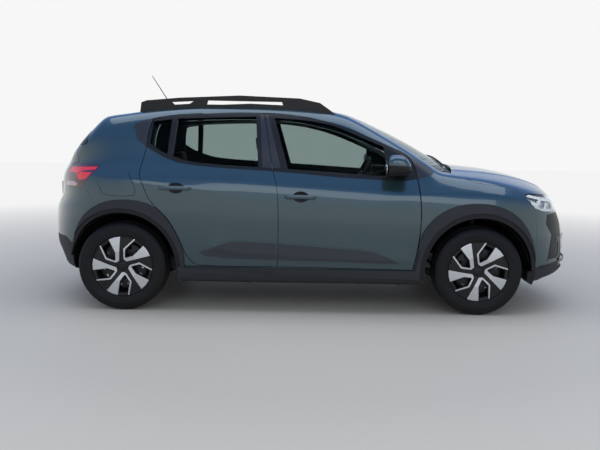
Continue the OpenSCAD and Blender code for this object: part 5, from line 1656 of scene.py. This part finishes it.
# What the paint mirrors is pale at the horizon and blue overhead, like an open sky
mirrorSky = worldTree.nodes.new("ShaderNodeBackground")
mirrorSky.inputs["Strength"].default_value = 0.95
skyPlace = worldTree.nodes.new("ShaderNodeTexCoord")
skySplit = worldTree.nodes.new("ShaderNodeSeparateXYZ")
skyMix = worldTree.nodes.new("ShaderNodeMix")
skyMix.data_type = "RGBA"
skyMix.inputs[6].default_value = (0.92, 0.93, 0.92, 1)
skyMix.inputs[7].default_value = (0.2, 0.42, 0.95, 1)
worldTree.links.new(skyPlace.outputs["Generated"], skySplit.inputs[0])
skyRise = addNode(worldTree, "ShaderNodeMapRange", i1=0.05, i2=0.6)
worldTree.links.new(skySplit.outputs["Z"], skyRise.inputs[0])
worldTree.links.new(skyRise.outputs[0], skyMix.inputs[0])
worldTree.links.new(skyMix.outputs[2], mirrorSky.inputs["Color"])
whiteBack = worldTree.nodes.new("ShaderNodeBackground")
whiteBack.inputs["Color"].default_value = (0.93, 0.93, 0.93, 1)
path = worldTree.nodes.new("ShaderNodeLightPath")
mix = worldTree.nodes.new("ShaderNodeMixShader")
mirror = worldTree.nodes.new("ShaderNodeMixShader")
worldTree.links.new(path.outputs["Is Glossy Ray"], mirror.inputs[0])
worldTree.links.new(background.outputs[0], mirror.inputs[1])
worldTree.links.new(mirrorSky.outputs[0], mirror.inputs[2])
seen = worldTree.nodes.new("ShaderNodeMath")
seen.operation = "MAXIMUM"
worldTree.links.new(path.outputs["Is Camera Ray"], seen.inputs[0])
worldTree.links.new(path.outputs["Is Transmission Ray"], seen.inputs[1])
worldTree.links.new(seen.outputs[0], mix.inputs[0])
worldTree.links.new(mirror.outputs[0], mix.inputs[1])
worldTree.links.new(whiteBack.outputs[0], mix.inputs[2])
worldTree.links.new(mix.outputs[0], worldTree.nodes["World Output"].inputs[0])

lamps = {"overhead": {"at": (0.2, -0.6, 4.6), "size": (7, 3), "power": 110, "turn": (0, 0, 0)},
         "side": {"at": (0.8, -6.5, 3.2), "size": (7, 2), "power": 60, "turn": (66, 0, 0)}}
for name, lamp in lamps.items():
    bpy.ops.object.light_add(type="AREA", location=lamp["at"],
                             rotation=[math.radians(a) for a in lamp["turn"]])
    light = bpy.context.active_object
    light.name = name
    light.data.shape = "RECTANGLE"
    light.data.size, light.data.size_y = lamp["size"]
    light.data.energy = lamp["power"]

photoView = {"at": (-0.0868, -5.950, 1.2488), "focal": 707.4, "pitch": 6.695, "roll": 0.916}
bpy.ops.object.camera_add(location=photoView["at"])
camera = bpy.context.active_object
camera.data.sensor_width = 36
camera.data.lens = photoView["focal"] * 36 / 600
camera.data.clip_end = 100
pitch = math.radians(photoView["pitch"])
roll = math.radians(photoView["roll"])
forward = np.array([0, math.cos(pitch), -math.sin(pitch)])
across = np.array([1.0, 0, 0])
up = np.cross(across, forward)
right = across * math.cos(roll) + up * math.sin(roll)
top = up * math.cos(roll) - across * math.sin(roll)
from mathutils import Matrix
camera.matrix_world = Matrix([[right[i], top[i], -forward[i], photoView["at"][i]]
                              for i in range(3)] + [[0, 0, 0, 1]])
bpy.context.scene.camera = camera
bpy.context.scene.view_settings.view_transform = "Standard"
print("stage and camera")
